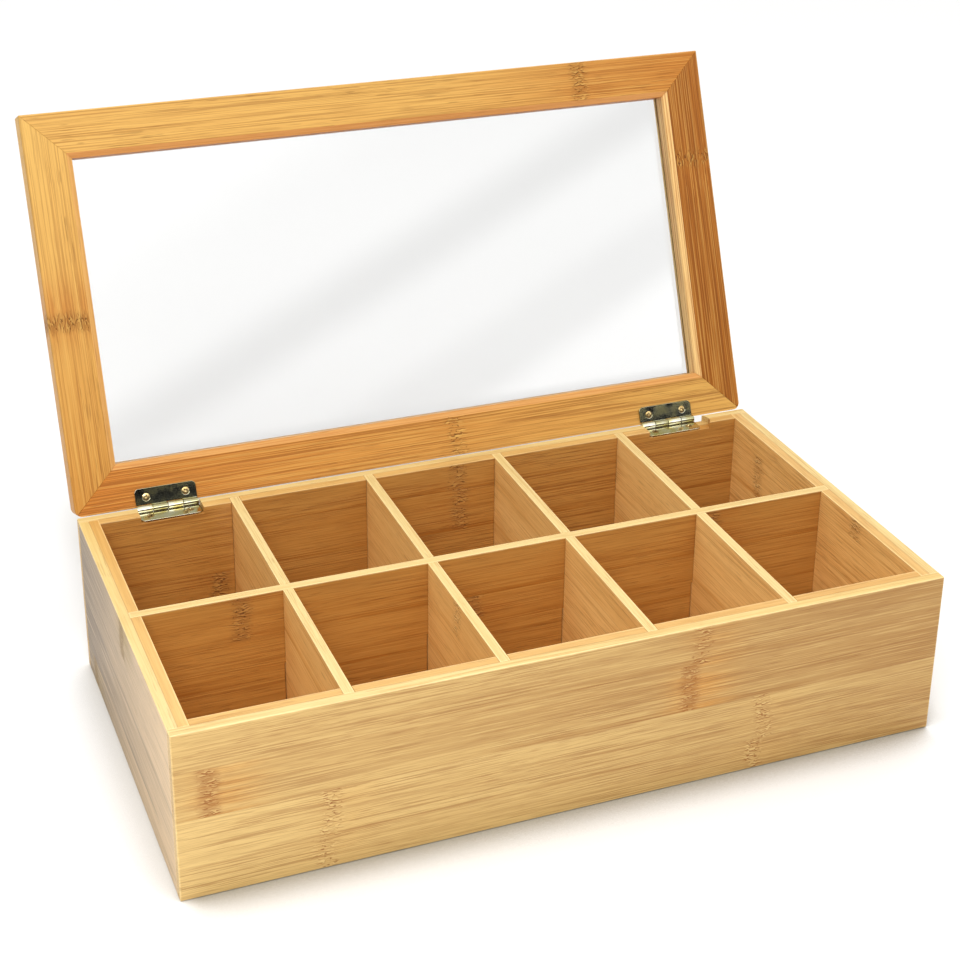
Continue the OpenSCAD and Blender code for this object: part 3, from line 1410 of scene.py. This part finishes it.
@dataclass(frozen=True)
class Swing:
    """The lid's pins and how far it stands open.

    Attributes:
        pin: A point on the pins' axis, which runs along X.
        opening: The angle at rest, in radians.
    """

    pin: Vector
    opening: float

    @staticmethod
    def from_record() -> "Swing":
        """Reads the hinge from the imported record."""
        joint = frame["joints"][0]
        return Swing(Vector(joint["pos_m"]), math.radians(joint["range_deg"][1]))

    def opened(self) -> Matrix:
        """Gives the turn from the closed lid to the open one."""
        shift = Matrix.Translation(self.pin)
        return shift @ Matrix.Rotation(-self.opening, 4, "X") @ shift.inverted()


@dataclass(frozen=True)
class Rail:
    """One rail of the lid.

    Attributes:
        node: Its construction node.
        grain: Direction of its grain on the closed lid.
        across: Direction from its outer edge to the opening.
        strip: Its strip of cane.
        deep: Colour of its deep zones.
        bevel: Colour of its bevel, which carries painted light and shade for the way it faces.
        reveal: Colour of the reveal under the bevel, painted in the same way.
        edge_wear_and_light: Colour along its eased edges: sanded wear with a painted highlight,
            and painted shade on the left rail.
        deepens: How much the tone deepens over a metre.
        deepens_past: Place along the grain where that starts.
        lines: Contrast of its fibres.
    """

    node: str
    grain: Vector
    across: Vector
    strip: Strip
    deep: str
    bevel: str
    reveal: str
    edge_wear_and_light: str = "F8CF85"
    deepens: float = 0.0
    deepens_past: float = 0.0
    lines: float = 1.1

    def finish(self) -> BambooFinish:
        """Gives the rail's finish, with its own painted light and shade on the bevel and the
        reveal.

        Returns:
            The finish, whose outer cut is the bevel and whose inner cut is the reveal.
        """
        face = replace(RAIL_FACE, deep=self.deep)
        bevel, reveal = (
            replace(RAIL_CUT, pale=tone, deep=tone, blush=tone)
            for tone in (self.bevel, self.reveal)
        )
        return BambooFinish(face, face, bevel, reveal, edge_wear_and_light=self.edge_wear_and_light, edge_wear_and_light_share=0.3, shine=0.12)


@dataclass(frozen=True)
class LidFrame:
    """The mitred frame of the lid and its pane.

    Attributes:
        thick: Thickness of the frame.
        rail: Width of a rail.
        gap: Gap between the closed lid and the rim.
        bevel_w: Width of the bevel round the opening.
        bevel_d: Depth of the bevel.
        rails: The four rails.
    """

    thick: float = 14 * MM
    rail: float = 24 * MM
    gap: float = 0.3 * MM
    bevel_w: float = 3 * MM
    bevel_d: float = 2 * MM
    # The bevels and reveals are painted paler where they face the light and darker where they
    # face away.
    rails: tuple[Rail, ...] = (
        Rail("lid_front_rail", X_AXIS, Y_AXIS, Strip(0.22, 0.306),
             "B5640F", "D89A5A", "C8823F", deepens=3.8, deepens_past=0.22, lines=0.9),
        Rail("lid_right_rail", Y_AXIS, -X_AXIS, Strip(0.9, 0.059, tint=0.1),
             "9E570A", "F0CB88", "F6D490", lines=1.9),
        Rail("lid_back_rail", -X_AXIS, -Y_AXIS, Strip(0.18, 0.1715, tint=0.1),
             "BE660C", "D29A58", "E2B474", deepens=1.6, lines=1.15),
        # The left rail's dark edge colour is painted shade.
        Rail("lid_left_rail", -Y_AXIS, X_AXIS, Strip(0.62, 0.098, tint=0.5),
             "B4680F", "E4B068", "E4B068", edge_wear_and_light="7E6238", deepens=-2.6, lines=0.75),
    )

    def build(self, groups: SharedGroups, swing: Swing) -> list[bpy.types.Object]:
        """Makes the rails and dresses the pane.

        Args:
            groups: The shared node groups.
            swing: The lid's hinge.

        Returns:
            The rails.
        """
        low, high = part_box("front_wall")[0].copy(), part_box("back_wall")[1].copy()
        low.z = high.z + self.gap
        high.z = low.z + self.thick
        opened = swing.opened()
        outline = Outline(low, high, opened.inverted())
        made = []
        for number, rail in enumerate(self.rails):
            axes = BoardFrame.of_box(low, high, rail.grain, rail.across)
            size = (axes.size[0], self.rail, self.thick)
            axes = BoardFrame(axes.origin, rail.grain, rail.across, size).turned(opened)
            layup = Layup(
                (rail.strip,),
                start=-0.5 * MM,
                width=26 * MM,
                ply=self.bevel_d,
                ply_line=0.0,
                cut_before=NO_CUT,
                cut_past=self.rail - self.bevel_w + 0.1 * MM,
                deepens=rail.deepens,
                deepens_past=rail.deepens_past,
                lines=rail.lines,
                zones=0.25,
                length=2.2,
                seed=11.0 + number,
            )
            board = Board(
                rail.node,
                Body.LID,
                Finish.LID,
                rail.finish(),
                axes,
                layup,
                arris=0.5 * MM,
                smallest=0.8 * MM,
            )
            made.append(board.build(groups, outline))
        pane = frame["nodes"]["lid_pane"]
        pane.data.materials.clear()
        pane.data.materials.append(AcrylicFinish().material("clear_acrylic"))
        LOG.info("lid: %d rails and the pane", len(made))
        return made


# --- Hinges -------------------------------------------------------------------------


def round_turn(degrees: np.ndarray) -> np.ndarray:
    """Gives the points (cos a, sin a) of the unit circle, one row for each angle."""
    return np.column_stack([np.cos(np.radians(degrees)), np.sin(np.radians(degrees))])


@dataclass(frozen=True)
class CrossScrew:
    """A countersunk wood screw with a tapered cross recess.

    Attributes:
        length: Its whole length.
        shank_r: Radius of the shank over the thread.
        core: Radius between the threads, as a share of that.
        pitch: Rise of the thread in one turn.
        head_r: Radius of the head.
        head_h: Height of the head's cone.
        soft: Rounding of the head's rim.
        cross_length: Length of each bar of the recess, from the middle.
        cross_width: Half the width of a bar.
        cross_depth: Depth of the recess.
        recess: Its rings: shares of the bars' length and of the depth.
        neck: Height of the plain neck under the head.
        flank: Steepness of the thread's sides.
        rows: Rows of points up the shank.
        steps: Steps round the screw.
    """

    length: float = 9.0 * MM
    shank_r: float = 1.1 * MM
    core: float = 0.7
    pitch: float = 0.9 * MM
    head_r: float = 2.0 * MM
    head_h: float = 0.9 * MM
    soft: float = 0.07 * MM
    cross_length: float = 1.15 * MM
    cross_width: float = 0.3 * MM
    cross_depth: float = 0.7 * MM
    recess: tuple[tuple[float, float], ...] = (
        (1.0, 0.0),
        (0.93, 0.12),
        (0.8, 0.75),
        (0.55, 1.0),
        (0.0, 1.05),
    )
    neck: float = 0.5 * MM
    flank: float = 3.2
    rows: int = 90
    steps: int = 96

    def surface(self) -> Surface:
        """Makes the screw.

        Rows go from the point up the shank, whose radius is a core plus a thread that
        rises as height over pitch minus the share of the turn, then up the head's cone,
        in over its flat top, and down the recess. The recess is the union of two bars:
        along each direction the greater of the ways to their sides.

        Returns:
            The screw, with its head's face at Z = 0.
        """
        angle = np.linspace(0, 2 * math.pi, self.steps, endpoint=False)
        cos, sin = np.abs(np.cos(angle)) + 1e-9, np.abs(np.sin(angle)) + 1e-9
        height = np.linspace(-self.length, -self.head_h - self.neck, self.rows)[:, None]
        taper = np.clip((height + self.length) / (2 * self.shank_r), 0, 1)
        phase = (height / self.pitch - angle / (2 * math.pi)) % 1.0
        thread = np.clip(1 - np.abs(phase - 0.5) * self.flank, 0, 1)
        rows = [(self.shank_r * (self.core + (1 - self.core) * thread) * taper, height)]
        rows += [
            (self.shank_r, -self.head_h),
            (self.head_r - self.soft, -self.soft),
            (self.head_r - 1.3 * self.soft, -0.3 * self.soft),
            (self.head_r - 2 * self.soft, 0.0),
        ]
        for share, down in self.recess:
            arm = self.cross_length * share
            half = self.cross_width * (0.35 + 0.65 * share) if share else 0.0
            bar = np.minimum(arm / cos, half / sin)
            other = np.minimum(arm / sin, half / cos)
            rows.append((np.maximum(bar, other), -down * self.cross_depth))
        radius = np.vstack([way + 0 * (angle + z) for way, z in rows])
        z = np.vstack([z + 0 * angle for _, z in rows])
        points = np.stack([radius * np.cos(angle), radius * np.sin(angle), z], -1)
        return Surface.grid(points, close_v=True)


@dataclass(frozen=True)
class ButtHinge:
    """A small butt hinge with four rolled knuckles.

    It is worked out about the pin's axis, which runs along X, with the leaf's plate
    lowest and pointing to -Y. Its partner is the same leaf turned half round about Y.

    Attributes:
        side: The end of the box that it is near.
        width: Length of the leaves along the pin.
        reach: How far a plate reaches from the pin's axis.
        thick: Thickness of the metal.
        pin_r: Radius of the pin.
        dome: Height of the domes on its ends.
        play: Extra radius of the bore in the lid's knuckles.
        knuckles: Number of knuckles on both leaves.
        gap: Gap between knuckles, and between a knuckle and the other plate.
        roll: Angles where a knuckle's roll starts and ends, in degrees.
        lip: Run and thickness of the roll's last edge, in steps.
        corner: Rounding of a plate's free corners.
        soft: Rounding of its edges.
        rounded: Turn of the faces, in degrees, past which an edge is rounded.
        creased: Turn past which an edge of a screw or a pin looks sharp.
        inset: Distance of the hinge's middle from the box's middle.
        screw: The screws.
        screw_x: Distance of a screw from the leaf's middle.
        screw_y: Y of the screws.
        sink_play: Play between a screw's head and the cone that it sits in.
        box_turns: Angles of the recesses on the box's leaf, in degrees.
        lid_turns: Those on the lid's leaf.
    """

    side: Side
    width: float = 32 * MM
    reach: float = 10.7 * MM
    thick: float = 1.0 * MM
    pin_r: float = 1.0 * MM
    dome: float = 0.3 * MM
    play: float = 0.05 * MM
    knuckles: int = 4
    gap: float = 0.3 * MM
    roll: tuple[float, float] = (-90, 205)
    lip: tuple[tuple[float, float], ...] = ((0.10 * MM, 0.86), (0.16 * MM, 0.55))
    corner: float = 2.5 * MM
    soft: float = 0.16 * MM
    rounded: float = 40.0
    creased: float = 32.0
    inset: float = 143 * MM
    screw: CrossScrew = CrossScrew()
    screw_x: float = 10.3 * MM
    screw_y: float = -6.0 * MM
    sink_play: float = 0.04 * MM
    box_turns: tuple[float, float] = (20.0, 65.0)
    lid_turns: tuple[float, float] = (35.0, 80.0)

    @property
    def barrel_r(self) -> float:
        """Outer radius of the knuckles."""
        return self.pin_r + self.thick

    @property
    def root(self) -> float:
        """Y of the line where the knuckles leave the plate."""
        return -self.barrel_r - self.gap

    @property
    def face_z(self) -> float:
        """Height of the plate's upper face."""
        return self.thick - self.barrel_r

    def _plate_edge(self, angle: np.ndarray, lines: tuple[float, ...]) -> np.ndarray:
        """Goes round the right half of the plate, seen from its screw hole.

        Along each direction the way to the rectangle's side is the least of the ways to
        its four lines. Inside the free corner it is the way to a circle instead.

        Args:
            angle: Directions from the hole, in radians.
            lines: Places of the left, right, front and back line, from the hole.

        Returns:
            X and Y of the half's edge, one row for each direction.
        """
        cos, sin = np.cos(angle), np.sin(angle)
        left, right, front, back = lines
        with np.errstate(divide="ignore"):
            way_x = np.where(cos > 0, right / cos, left / cos)
            way_y = np.where(sin > 0, back / sin, front / sin)
        way_x[cos == 0], way_y[sin == 0] = np.inf, np.inf
        way = np.minimum(way_x, way_y)
        centre = np.array([right - self.corner, front + self.corner])
        along = cos * centre[0] + sin * centre[1]
        inside = along**2 - (centre**2).sum() + self.corner**2
        arc = along + np.sqrt(np.maximum(inside, 0))
        cornered = (way * cos > centre[0]) & (way * sin < centre[1]) & (inside > 0)
        way = np.where(cornered, arc, way)
        return np.stack([self.screw_x + way * cos, self.screw_y + way * sin], -1)

    def _plate(self) -> Surface:
        """Makes the plate with its two countersunk holes.

        Each half is three rings round its hole: the sunk cone, the upper face and the
        lower face, where a point is (1 - t) hole + t edge. A wall joins the two faces
        wherever the edge isn't the line that the halves share.

        Returns:
            The plate.
        """
        left, right = -self.screw_x, self.width / 2 - self.screw_x
        front, back = -self.screw_y - self.reach, self.root - self.screw_y
        turns = [math.atan2(y, x) for x in (left, right) for y in (back, front)]
        angle = np.unique(np.concatenate([np.linspace(-math.pi, math.pi, 96)[:-1], turns]))
        edge = self._plate_edge(angle, (left, right, front, back))
        circle = np.stack([np.cos(angle), np.sin(angle)], -1)
        middle = np.array([self.screw_x, self.screw_y])
        top, bottom = self.face_z, -self.barrel_r

        def ring(plan: np.ndarray, height: float) -> np.ndarray:
            """Lays a ring of plan points at one height."""
            return np.column_stack([plan, np.full(len(plan), height)])

        mouth = middle + circle * (self.screw.head_r + self.sink_play)
        throat = middle + circle * self.screw.shank_r
        share = np.linspace(0, 1, 4)[:, None, None]
        upper = (1 - share) * ring(mouth, top) + share * ring(edge, top)
        lower = (1 - share) * ring(throat, bottom) + share * ring(edge, bottom)
        heights = ((throat, bottom), (throat, top - self.screw.head_h), (mouth, top))
        cone = np.stack([ring(plan, height) for plan, height in heights])
        rim = Surface.grid(np.stack([ring(edge, top), ring(edge, bottom)]), close_v=True)
        shared = np.abs(rim.points[rim.faces][:, :, 0]) < 1e-7
        rim = Surface(rim.points, rim.faces[~shared.all(1)])
        faces = [Surface.grid(part, close_v=True) for part in (upper, lower, cone)]
        half = Surface.joined([*faces, rim])
        return Surface.joined([half, half.moved(Matrix.Diagonal((-1, 1, 1, 1)))])

    def _knuckle(self, left: float, right: float, bore: float) -> Surface:
        """Rolls one knuckle.

        A rounded rectangle is carried along a path that leaves the plate and winds round
        the pin, from straight down to just short of the plate again, where it thins to
        a lip. Its long side is the knuckle's width, and its short side is the metal's
        thickness.

        Args:
            left: X of the knuckle's left end.
            right: X of its right end.
            bore: Radius of its bore.

        Returns:
            The knuckle.
        """
        radius, half_t = (self.barrel_r + bore) / 2, (self.barrel_r - bore) / 2
        winding = round_turn(np.linspace(*self.roll, 60))
        straight = np.linspace(self.root, 0, 5)[:-1]
        heading = np.array([-winding[-1, 1], winding[-1, 0]])
        runs, shares = np.array(self.lip).T
        path = [np.column_stack([straight, np.full(4, -radius)]), radius * winding]
        path = np.vstack([*path, radius * winding[-1] + runs[:, None] * heading])
        down, last = np.array([[0.0, -1.0]]), winding[-1:]
        outward = [down.repeat(4, axis=0), winding, last.repeat(len(runs), axis=0)]
        outward = np.vstack(outward)[:, :, None]
        thin = np.concatenate([np.ones(len(path) - len(runs)), shares])[:, None]

        turns = round_turn(np.add.outer(np.arange(4) * 90, np.linspace(0, 90, 5)).ravel())
        signs = np.repeat([(1, 1), (-1, 1), (-1, -1), (1, -1)], 5, axis=0)
        half = np.array([(right - left) / 2, half_t]) - self.soft
        section = signs * half + self.soft * turns
        offset = section[:, 1] * thin
        x = (left + right) / 2 + section[:, 0] + 0 * offset
        y, z = (path[:, axis, None] + outward[:, axis] * offset for axis in (0, 1))
        points = np.stack([x, y, z], -1)
        hub = points.mean(axis=1, keepdims=True) + 0 * points
        closed = np.concatenate([hub[:1], points, hub[-1:]])
        return Surface.grid(closed, close_v=True)

    def _leaf(self, name: str, bore: float, place: Matrix) -> bpy.types.Object:
        """Makes a leaf: its plate and every second knuckle.

        Args:
            name: The piece's name.
            bore: Radius of the knuckles' bore.
            place: Matrix from the hinge's axes to the box.

        Returns:
            The leaf.
        """
        step = self.width / self.knuckles
        parts = [self._plate()]
        for number in range(0, self.knuckles, 2):
            left = -self.width / 2 + number * step + (self.gap / 2 if number else 0.0)
            right = -self.width / 2 + (number + 1) * step - self.gap / 2
            parts.append(self._knuckle(left, right, bore))
        made = make_object(name, Surface.joined(parts).mesh(name))
        ends = edge_ends(made.data)
        at_root = (np.abs(ends[:, :, 1] - self.root) < 1e-6).all(axis=1)
        flat = (np.abs(ends[:, :, 2] - self.face_z) < 1e-6).all(axis=1)
        flat |= (np.abs(ends[:, :, 2] + self.barrel_r) < 1e-6).all(axis=1)
        weights = sharp_edges(made.data, self.rounded) & ~at_root & flat
        made.data.transform(place)
        ease_edges(made, weights.astype(float), self.soft, 3)
        return made

    def _pin(self) -> Surface:
        """Turns the pin about X, with a low dome on each end.

        Returns:
            The pin: its radius follows a quarter ellipse over the height of a dome.
        """
        arc = round_turn(np.linspace(0, 90, 7))
        end = self.width / 2 - self.dome
        near = np.column_stack([self.pin_r * arc[:, 1], -end - self.dome * arc[:, 0]])
        far = np.column_stack([self.pin_r * arc[:, 0], end + self.dome * arc[:, 1]])
        turned = revolved(np.vstack([near, far]), 48)
        return turned.moved(Matrix.Rotation(math.pi / 2, 4, "Y"))

    def _screw_pair(self, turns: tuple[float, float]) -> Surface:
        """Sets two screws into the plate, each driven to its own angle.

        Args:
            turns: The angles of the two cross recesses, in degrees.

        Returns:
            Both screws.
        """
        pair = []
        for end, turn in zip((-1, 1), turns):
            place = Matrix.Translation((end * self.screw_x, self.screw_y, self.face_z))
            place = place @ Matrix.Rotation(math.radians(turn), 4, "Z")
            pair.append(self.screw.surface().moved(place))
        return Surface.joined(pair)

    def _dress(
        self,
        made: bpy.types.Object,
        node: str,
        body: Body,
        look: bpy.types.Material,
    ) -> bpy.types.Object:
        """Gives a piece its finish and its place among the bodies.

        Args:
            made: The piece.
            node: The construction node that it stands for.
            body: The body that it rides on.
            look: Its material.

        Returns:
            The piece.
        """
        made.data.materials.append(look)
        if not made.modifiers:
            faces = made.data.polygons
            faces.foreach_set("use_smooth", np.ones(len(faces), bool))
            made.data.set_sharp_from_angle(angle=math.radians(self.creased))
        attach(made, body.value)
        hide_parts(node)
        return made

    def build(
        self,
        swing: Swing,
        nickel: dict[Body, bpy.types.Material],
        brass: bpy.types.Material,
    ) -> list[bpy.types.Object]:
        """Makes the hinge.

        Args:
            swing: The lid's hinge line.
            nickel: Material of the leaves and the pin, by the body.
            brass: Material of the screws.

        Returns:
            The hinge's pieces.
        """
        label = self.side.name.lower() + "_hinge_"
        at = Matrix.Translation((self.side.value * self.inset, swing.pin.y, swing.pin.z))
        partner = swing.opened() @ at @ Matrix.Rotation(math.pi, 4, "Y")
        made = []
        for body, bore, place, turns in (
            (Body.BOX, self.pin_r, at, self.box_turns),
            (Body.LID, self.pin_r + self.play, partner, self.lid_turns),
        ):
            node = f"{label}{body.value}_leaf"
            leaf = self._leaf(node + "_rolled", bore, place)
            made.append(self._dress(leaf, node, body, nickel[body]))
            node = f"{label}{body.value}_screws"
            mesh = self._screw_pair(turns).moved(place).mesh(node + "_driven")
            pair = make_object(node + "_driven", mesh)
            made.append(self._dress(pair, node, body, brass))
        node = label + "pin"
        pin = make_object(node + "_turned", self._pin().moved(at).mesh(node + "_turned"))
        made.append(self._dress(pin, node, Body.BOX, nickel[Body.BOX]))
        LOG.info("%s hinge: %d pieces", self.side.name.lower(), len(made))
        return made


# --- Studio -------------------------------------------------------------------------


def flat_panel(name: str, size: tuple[float, float], place: Matrix) -> bpy.types.Object:
    """Makes a flat stage piece that neither the camera sees nor shadows fall from.

    Args:
        name: Its name.
        size: Its two sides.
        place: Matrix from its own plane, x and y, to the scene.

    Returns:
        The panel.
    """
    along, up = (np.linspace(-0.5, 0.5, 3) * side for side in size)
    x, y = np.meshgrid(along, up, indexing="ij")
    sheet = Surface.grid(np.stack([x, y, 0 * x], -1))
    made = make_object(name, sheet.moved(place).mesh(name))
    made.visible_camera = False
    made.visible_shadow = False
    made.visible_transmission = False
    return made


def facing(back: Vector) -> Matrix:
    """Turns Z toward a direction and keeps X level."""
    right = Z_AXIS.cross(back).normalized()
    return Matrix((right, back.cross(right), back)).transposed().to_4x4()


def emptied(owner: bpy.types.Material | bpy.types.World) -> Wiring:
    """Clears the node tree of a material or a world and starts wiring it."""
    owner.use_nodes = True
    owner.node_tree.nodes.clear()
    return Wiring(owner.node_tree)


def light_up(wire: Wiring, strength: Source) -> None:
    """Makes a material glow white with a strength."""
    glow = wire.first("ShaderNodeEmission", {"Strength": strength})
    wire.add("ShaderNodeOutputMaterial", {"Surface": glow})


@dataclass(frozen=True)
class KeyPanel:
    """A soft panel light in front of the box, which the camera doesn't see.

    Attributes:
        centre: Middle of the panel.
        aim: The point that it faces.
        size: Its length and its height.
        power: Strength of its glow.
    """

    centre: tuple[float, float, float] = (-0.40, -0.85, 0.78)
    aim: tuple[float, float, float] = (-0.05, 0.0, 0.05)
    size: tuple[float, float] = (0.55, 0.42)
    power: float = 8.5

    def build(self) -> None:
        """Makes the panel as a grid, x along it and y up it, turned to its aim."""
        turn = facing((Vector(self.centre) - Vector(self.aim)).normalized())
        made = flat_panel("key_panel", self.size, Matrix.Translation(self.centre) @ turn)
        look = bpy.data.materials.new("key_glow")
        light_up(emptied(look), self.power)
        made.data.materials.append(look)


@dataclass(frozen=True)
class GlareCard:
    """A card in front of the box that the acrylic and the metal mirror.

    Slanting bars of light lie on it. A bar runs where the distance from a slanting line
    is between two values, and its edges are soft.

    Attributes:
        low: Lowest X and Z of the card.
        high: Highest X and Z.
        depth: Y of the card.
        line: X and Z of a point on the slanting line.
        slant: The line's angle, in degrees.
        bars: Lower edge, upper edge, softness and strength of each bar.
        foot: Height under which the card is dark.
        foot_soft: Height over which it brightens there.
        fade: Length over which it fades at its two ends.
    """

    low: tuple[float, float] = (-0.4, 0.55)
    high: tuple[float, float] = (1.7, 1.75)
    depth: float = -1.5
    line: tuple[float, float] = (0.102, 0.646)
    slant: float = 24.0
    bars: tuple[tuple[float, float, float, float], ...] = (
        (0.035, 2.0, 0.07, 3.0),
        (0.26, 2.0, 0.2, 2.8),
        (-0.60, -0.035, 0.06, 1.1),
        (-0.15, -0.035, 0.06, 1.7),
        (-0.60, -0.245, 0.06, 3.2),
    )
    foot: float = 0.612
    foot_soft: float = 0.02
    fade: float = 0.4

    def build(self) -> None:
        """Makes the card as a grid in X and Z."""
        (left, foot), (right, top) = self.low, self.high
        centre = ((left + right) / 2, self.depth, (foot + top) / 2)
        place = Matrix.Translation(centre) @ Matrix.Rotation(math.pi / 2, 4, "X")
        made = flat_panel("glare_card", (right - left, top - foot), place)
        look = bpy.data.materials.new("glare_bars")
        wire = emptied(look)
        x, _, z = wire.parts(wire.here())
        slant = math.radians(self.slant)
        off = (z - self.line[1]) * math.cos(slant) - (x - self.line[0]) * math.sin(slant)
        glow: Source = 0.0
        for lower, upper, soft, power in self.bars:
            above = wire.between(off, lower - soft / 2, lower + soft / 2)
            under = wire.between(off, upper + soft / 2, upper - soft / 2)
            glow = glow + above * under * power
        lit = wire.between(z, self.foot, self.foot + self.foot_soft)
        lit = lit * wire.between(x, left, left + self.fade)
        lit = lit * wire.between(x, right, right - self.fade)
        light_up(wire, glow * lit)
        made.data.materials.append(look)
        made.visible_diffuse = False


@dataclass(frozen=True)
class SoftStep:
    """A soft step on the floor, from nothing at one place to all at another.

    Attributes:
        axis: 0 for X, 1 for Y.
        clear: Place along the axis where it is nothing.
        full: Place where it is all.
    """

    axis: int
    clear: float
    full: float


@dataclass(frozen=True)
class Floor:
    """The pale floor.

    Attributes:
        reach: Radius of the disc.
        drop: How far it lies under the box.
        tones: Its two pale tones, which lie in broad clouds.
        nook: How near the box the painted contact shadow reaches.
        nook_tone: Tone of that painted shadow in the corner under the box.
        nook_fall: How fast it fades, as a power.
        glow: Steps that bound a painted pool of light on the floor beside the left wall.
        glow_share: Share of white there.
        glow_lifts: Share of the painted contact shadow that is left out there.
        shade: Steps that bound the painted shadow behind the box.
        shade_tone: Its tone.
        rough: Roughness of the floor.
        shine: Strength of its mirror.
    """

    reach: float = 9.0
    drop: float = 0.3 * MM
    tones: tuple[str, str] = ("E9E9E8", "ECECEB")
    nook: float = 40 * MM
    nook_tone: str = "A09A8C"
    nook_fall: float = 3.5
    glow: tuple[SoftStep, ...] = (SoftStep(0, -0.180, -0.192), SoftStep(1, 0.17, 0.09))
    glow_share: float = 0.5
    glow_lifts: float = 0.6
    shade: tuple[SoftStep, ...] = (
        SoftStep(0, -0.19, -0.14),
        SoftStep(0, 0.27, 0.19),
        SoftStep(1, 0.325, 0.225),
        SoftStep(1, 0.08, 0.12),
    )
    shade_tone: str = "B4ADA2"
    rough: float = 0.35
    shine: float = 0.25

    @staticmethod
    def _patch(wire: Wiring, here: Signal, steps: tuple[SoftStep, ...]) -> Signal:
        """Multiplies soft steps into a mask.

        Args:
            wire: The floor's tree.
            here: The place on the floor.
            steps: The steps.

        Returns:
            1 inside all the steps and 0 outside any.
        """
        places = wire.parts(here)
        mask: Source = 1.0
        for step in steps:
            edge = wire.between(places[step.axis], step.clear, step.full)
            mask = wire.math("MULTIPLY", mask, edge)
        return mask

    def _look(self) -> bpy.types.Material:
        """Makes the floor's material: clouds, and painted light and shadows near the box.

        Returns:
            The material.
        """
        look, wire, shader = new_material("pale_floor")
        here = wire.here()
        cloud = wire.noise(here, (3, 3, 3), 2)
        glow = self._patch(wire, here, self.glow)
        pale = wire.mixed(cloud, *(srgb(tone) for tone in self.tones))
        # A painted pool of light beside the left wall.
        pale = wire.mixed(glow * self.glow_share, pale, WHITE)
        # A painted shadow behind the box.
        pale = wire.mixed(self._patch(wire, here, self.shade), pale, srgb(self.shade_tone))
        # A painted contact shadow near the box, weaker in the pool of light.
        sky = wire.add("ShaderNodeAmbientOcclusion", {"Distance": self.nook}, samples=8)
        closed = wire.between(wire.named(sky)["AO"], 1.0, 0.5)
        corner = wire.math("POWER", closed, self.nook_fall) * (1.0 - glow * self.glow_lifts)
        tone = wire.mixed(corner, pale, srgb(self.nook_tone))
        wire.feed(shader.inputs["Base Color"], tone)
        shader.inputs["Roughness"].default_value = self.rough
        shader.inputs["Specular IOR Level"].default_value = self.shine
        return look

    def build(self) -> None:
        """Lays the floor: a disc where a point is r (cos a, sin a), just under the box."""
        radii = self.reach * np.linspace(0, 1, 8) ** 2
        mesh = revolved(np.stack([radii, np.full(8, -self.drop)], -1)[::-1]).mesh("floor")
        if mesh.polygons[0].normal.z < 0:
            mesh.flip_normals()
        mesh.materials.append(self._look())
        make_object("floor", mesh)


@dataclass(frozen=True)
class Room:
    """The light of the room.

    Attributes:
        ceiling: Strength of the ceiling's glow.
        walls: Strength of the walls' glow.
        rise: Sines of the elevations where one passes into the other.
    """

    ceiling: float = 1.68
    walls: float = 0.16
    rise: tuple[float, float] = (0.30, 0.62)

    def build(self) -> None:
        """Lights the room from a bright ceiling over dim walls.

        The glow rises with the sine of the elevation. The camera and clear sheets see
        plain white.
        """
        world = bpy.data.worlds.new("studio")
        bpy.context.scene.world = world
        wire = emptied(world)
        lift = wire.between(wire.parts(wire.here())[2], *self.rise)
        glow = lift * (self.ceiling - self.walls) + self.walls
        path = wire.named(wire.add("ShaderNodeLightPath"))
        seen = wire.math("MAXIMUM", path["Is Camera Ray"], path["Is Transmission Ray"])
        feeds = {"Color": WHITE, "Strength": glow * (1.0 - seen) + seen}
        sky = wire.first("ShaderNodeBackground", feeds)
        wire.add("ShaderNodeOutputWorld", {"Surface": sky})


@dataclass(frozen=True)
class Camera:
    """The camera.

    Attributes:
        eye: Its place.
        azimuth: Its direction round the box, in degrees; 0 is in front.
        elevation: How far it looks down, in degrees.
        roll: How far it is turned about its own axis, in degrees.
        lens: Focal length, in millimetres.
        sensor: Width of the sensor, in millimetres.
        rise: Shift of the lens upward, as a share of the sensor.
    """

    eye: tuple[float, float, float] = (-0.3209, -0.7861, 0.5582)
    azimuth: float = -21.4834
    elevation: float = 24.3271
    roll: float = 0.5091
    lens: float = 73.434
    sensor: float = 36.0
    rise: float = -0.10

    def build(self) -> None:
        """Sets up the camera from its place, its direction and its lens."""
        a, e = math.radians(self.azimuth), math.radians(self.elevation)
        back = Vector((math.sin(a) * math.cos(e), -math.cos(a) * math.cos(e), math.sin(e)))
        roll = Matrix.Rotation(math.radians(self.roll), 4, "Z")
        lens = bpy.data.cameras.new("camera")
        lens.sensor_width = self.sensor
        lens.lens = self.lens
        lens.shift_y = self.rise
        lens.clip_start, lens.clip_end = 0.01, 100.0
        made = bpy.data.objects.new("camera", lens)
        bpy.context.scene.collection.objects.link(made)
        made.matrix_world = Matrix.Translation(self.eye) @ facing(back) @ roll
        bpy.context.scene.camera = made


def build_studio() -> None:
    """Makes the floor, the light, the cards and the camera."""
    for part in (Floor(), Room(), KeyPanel(), GlareCard(), Camera()):
        part.build()
        LOG.info("studio: %s", type(part).__name__)
    bpy.context.scene.view_settings.view_transform = "Standard"


def main() -> None:
    """Builds the tea box and its studio."""
    logging.basicConfig(level=logging.INFO, format="%(name)s: %(message)s")
    groups = SharedGroups()
    swing = Swing.from_record()
    Chest().build(groups)
    DividerGrid().build(groups)
    LidFrame().build(groups, swing)
    nickel = {
        body: plate.material(f"nickel_plate_{body.value}", groups)
        for body, plate in NICKEL.items()
    }
    brass = BRASS.material("brass_plate", groups)
    for side in Side:
        ButtHinge(side).build(swing, nickel, brass)
    build_studio()


if __name__ == "__main__":
    main()
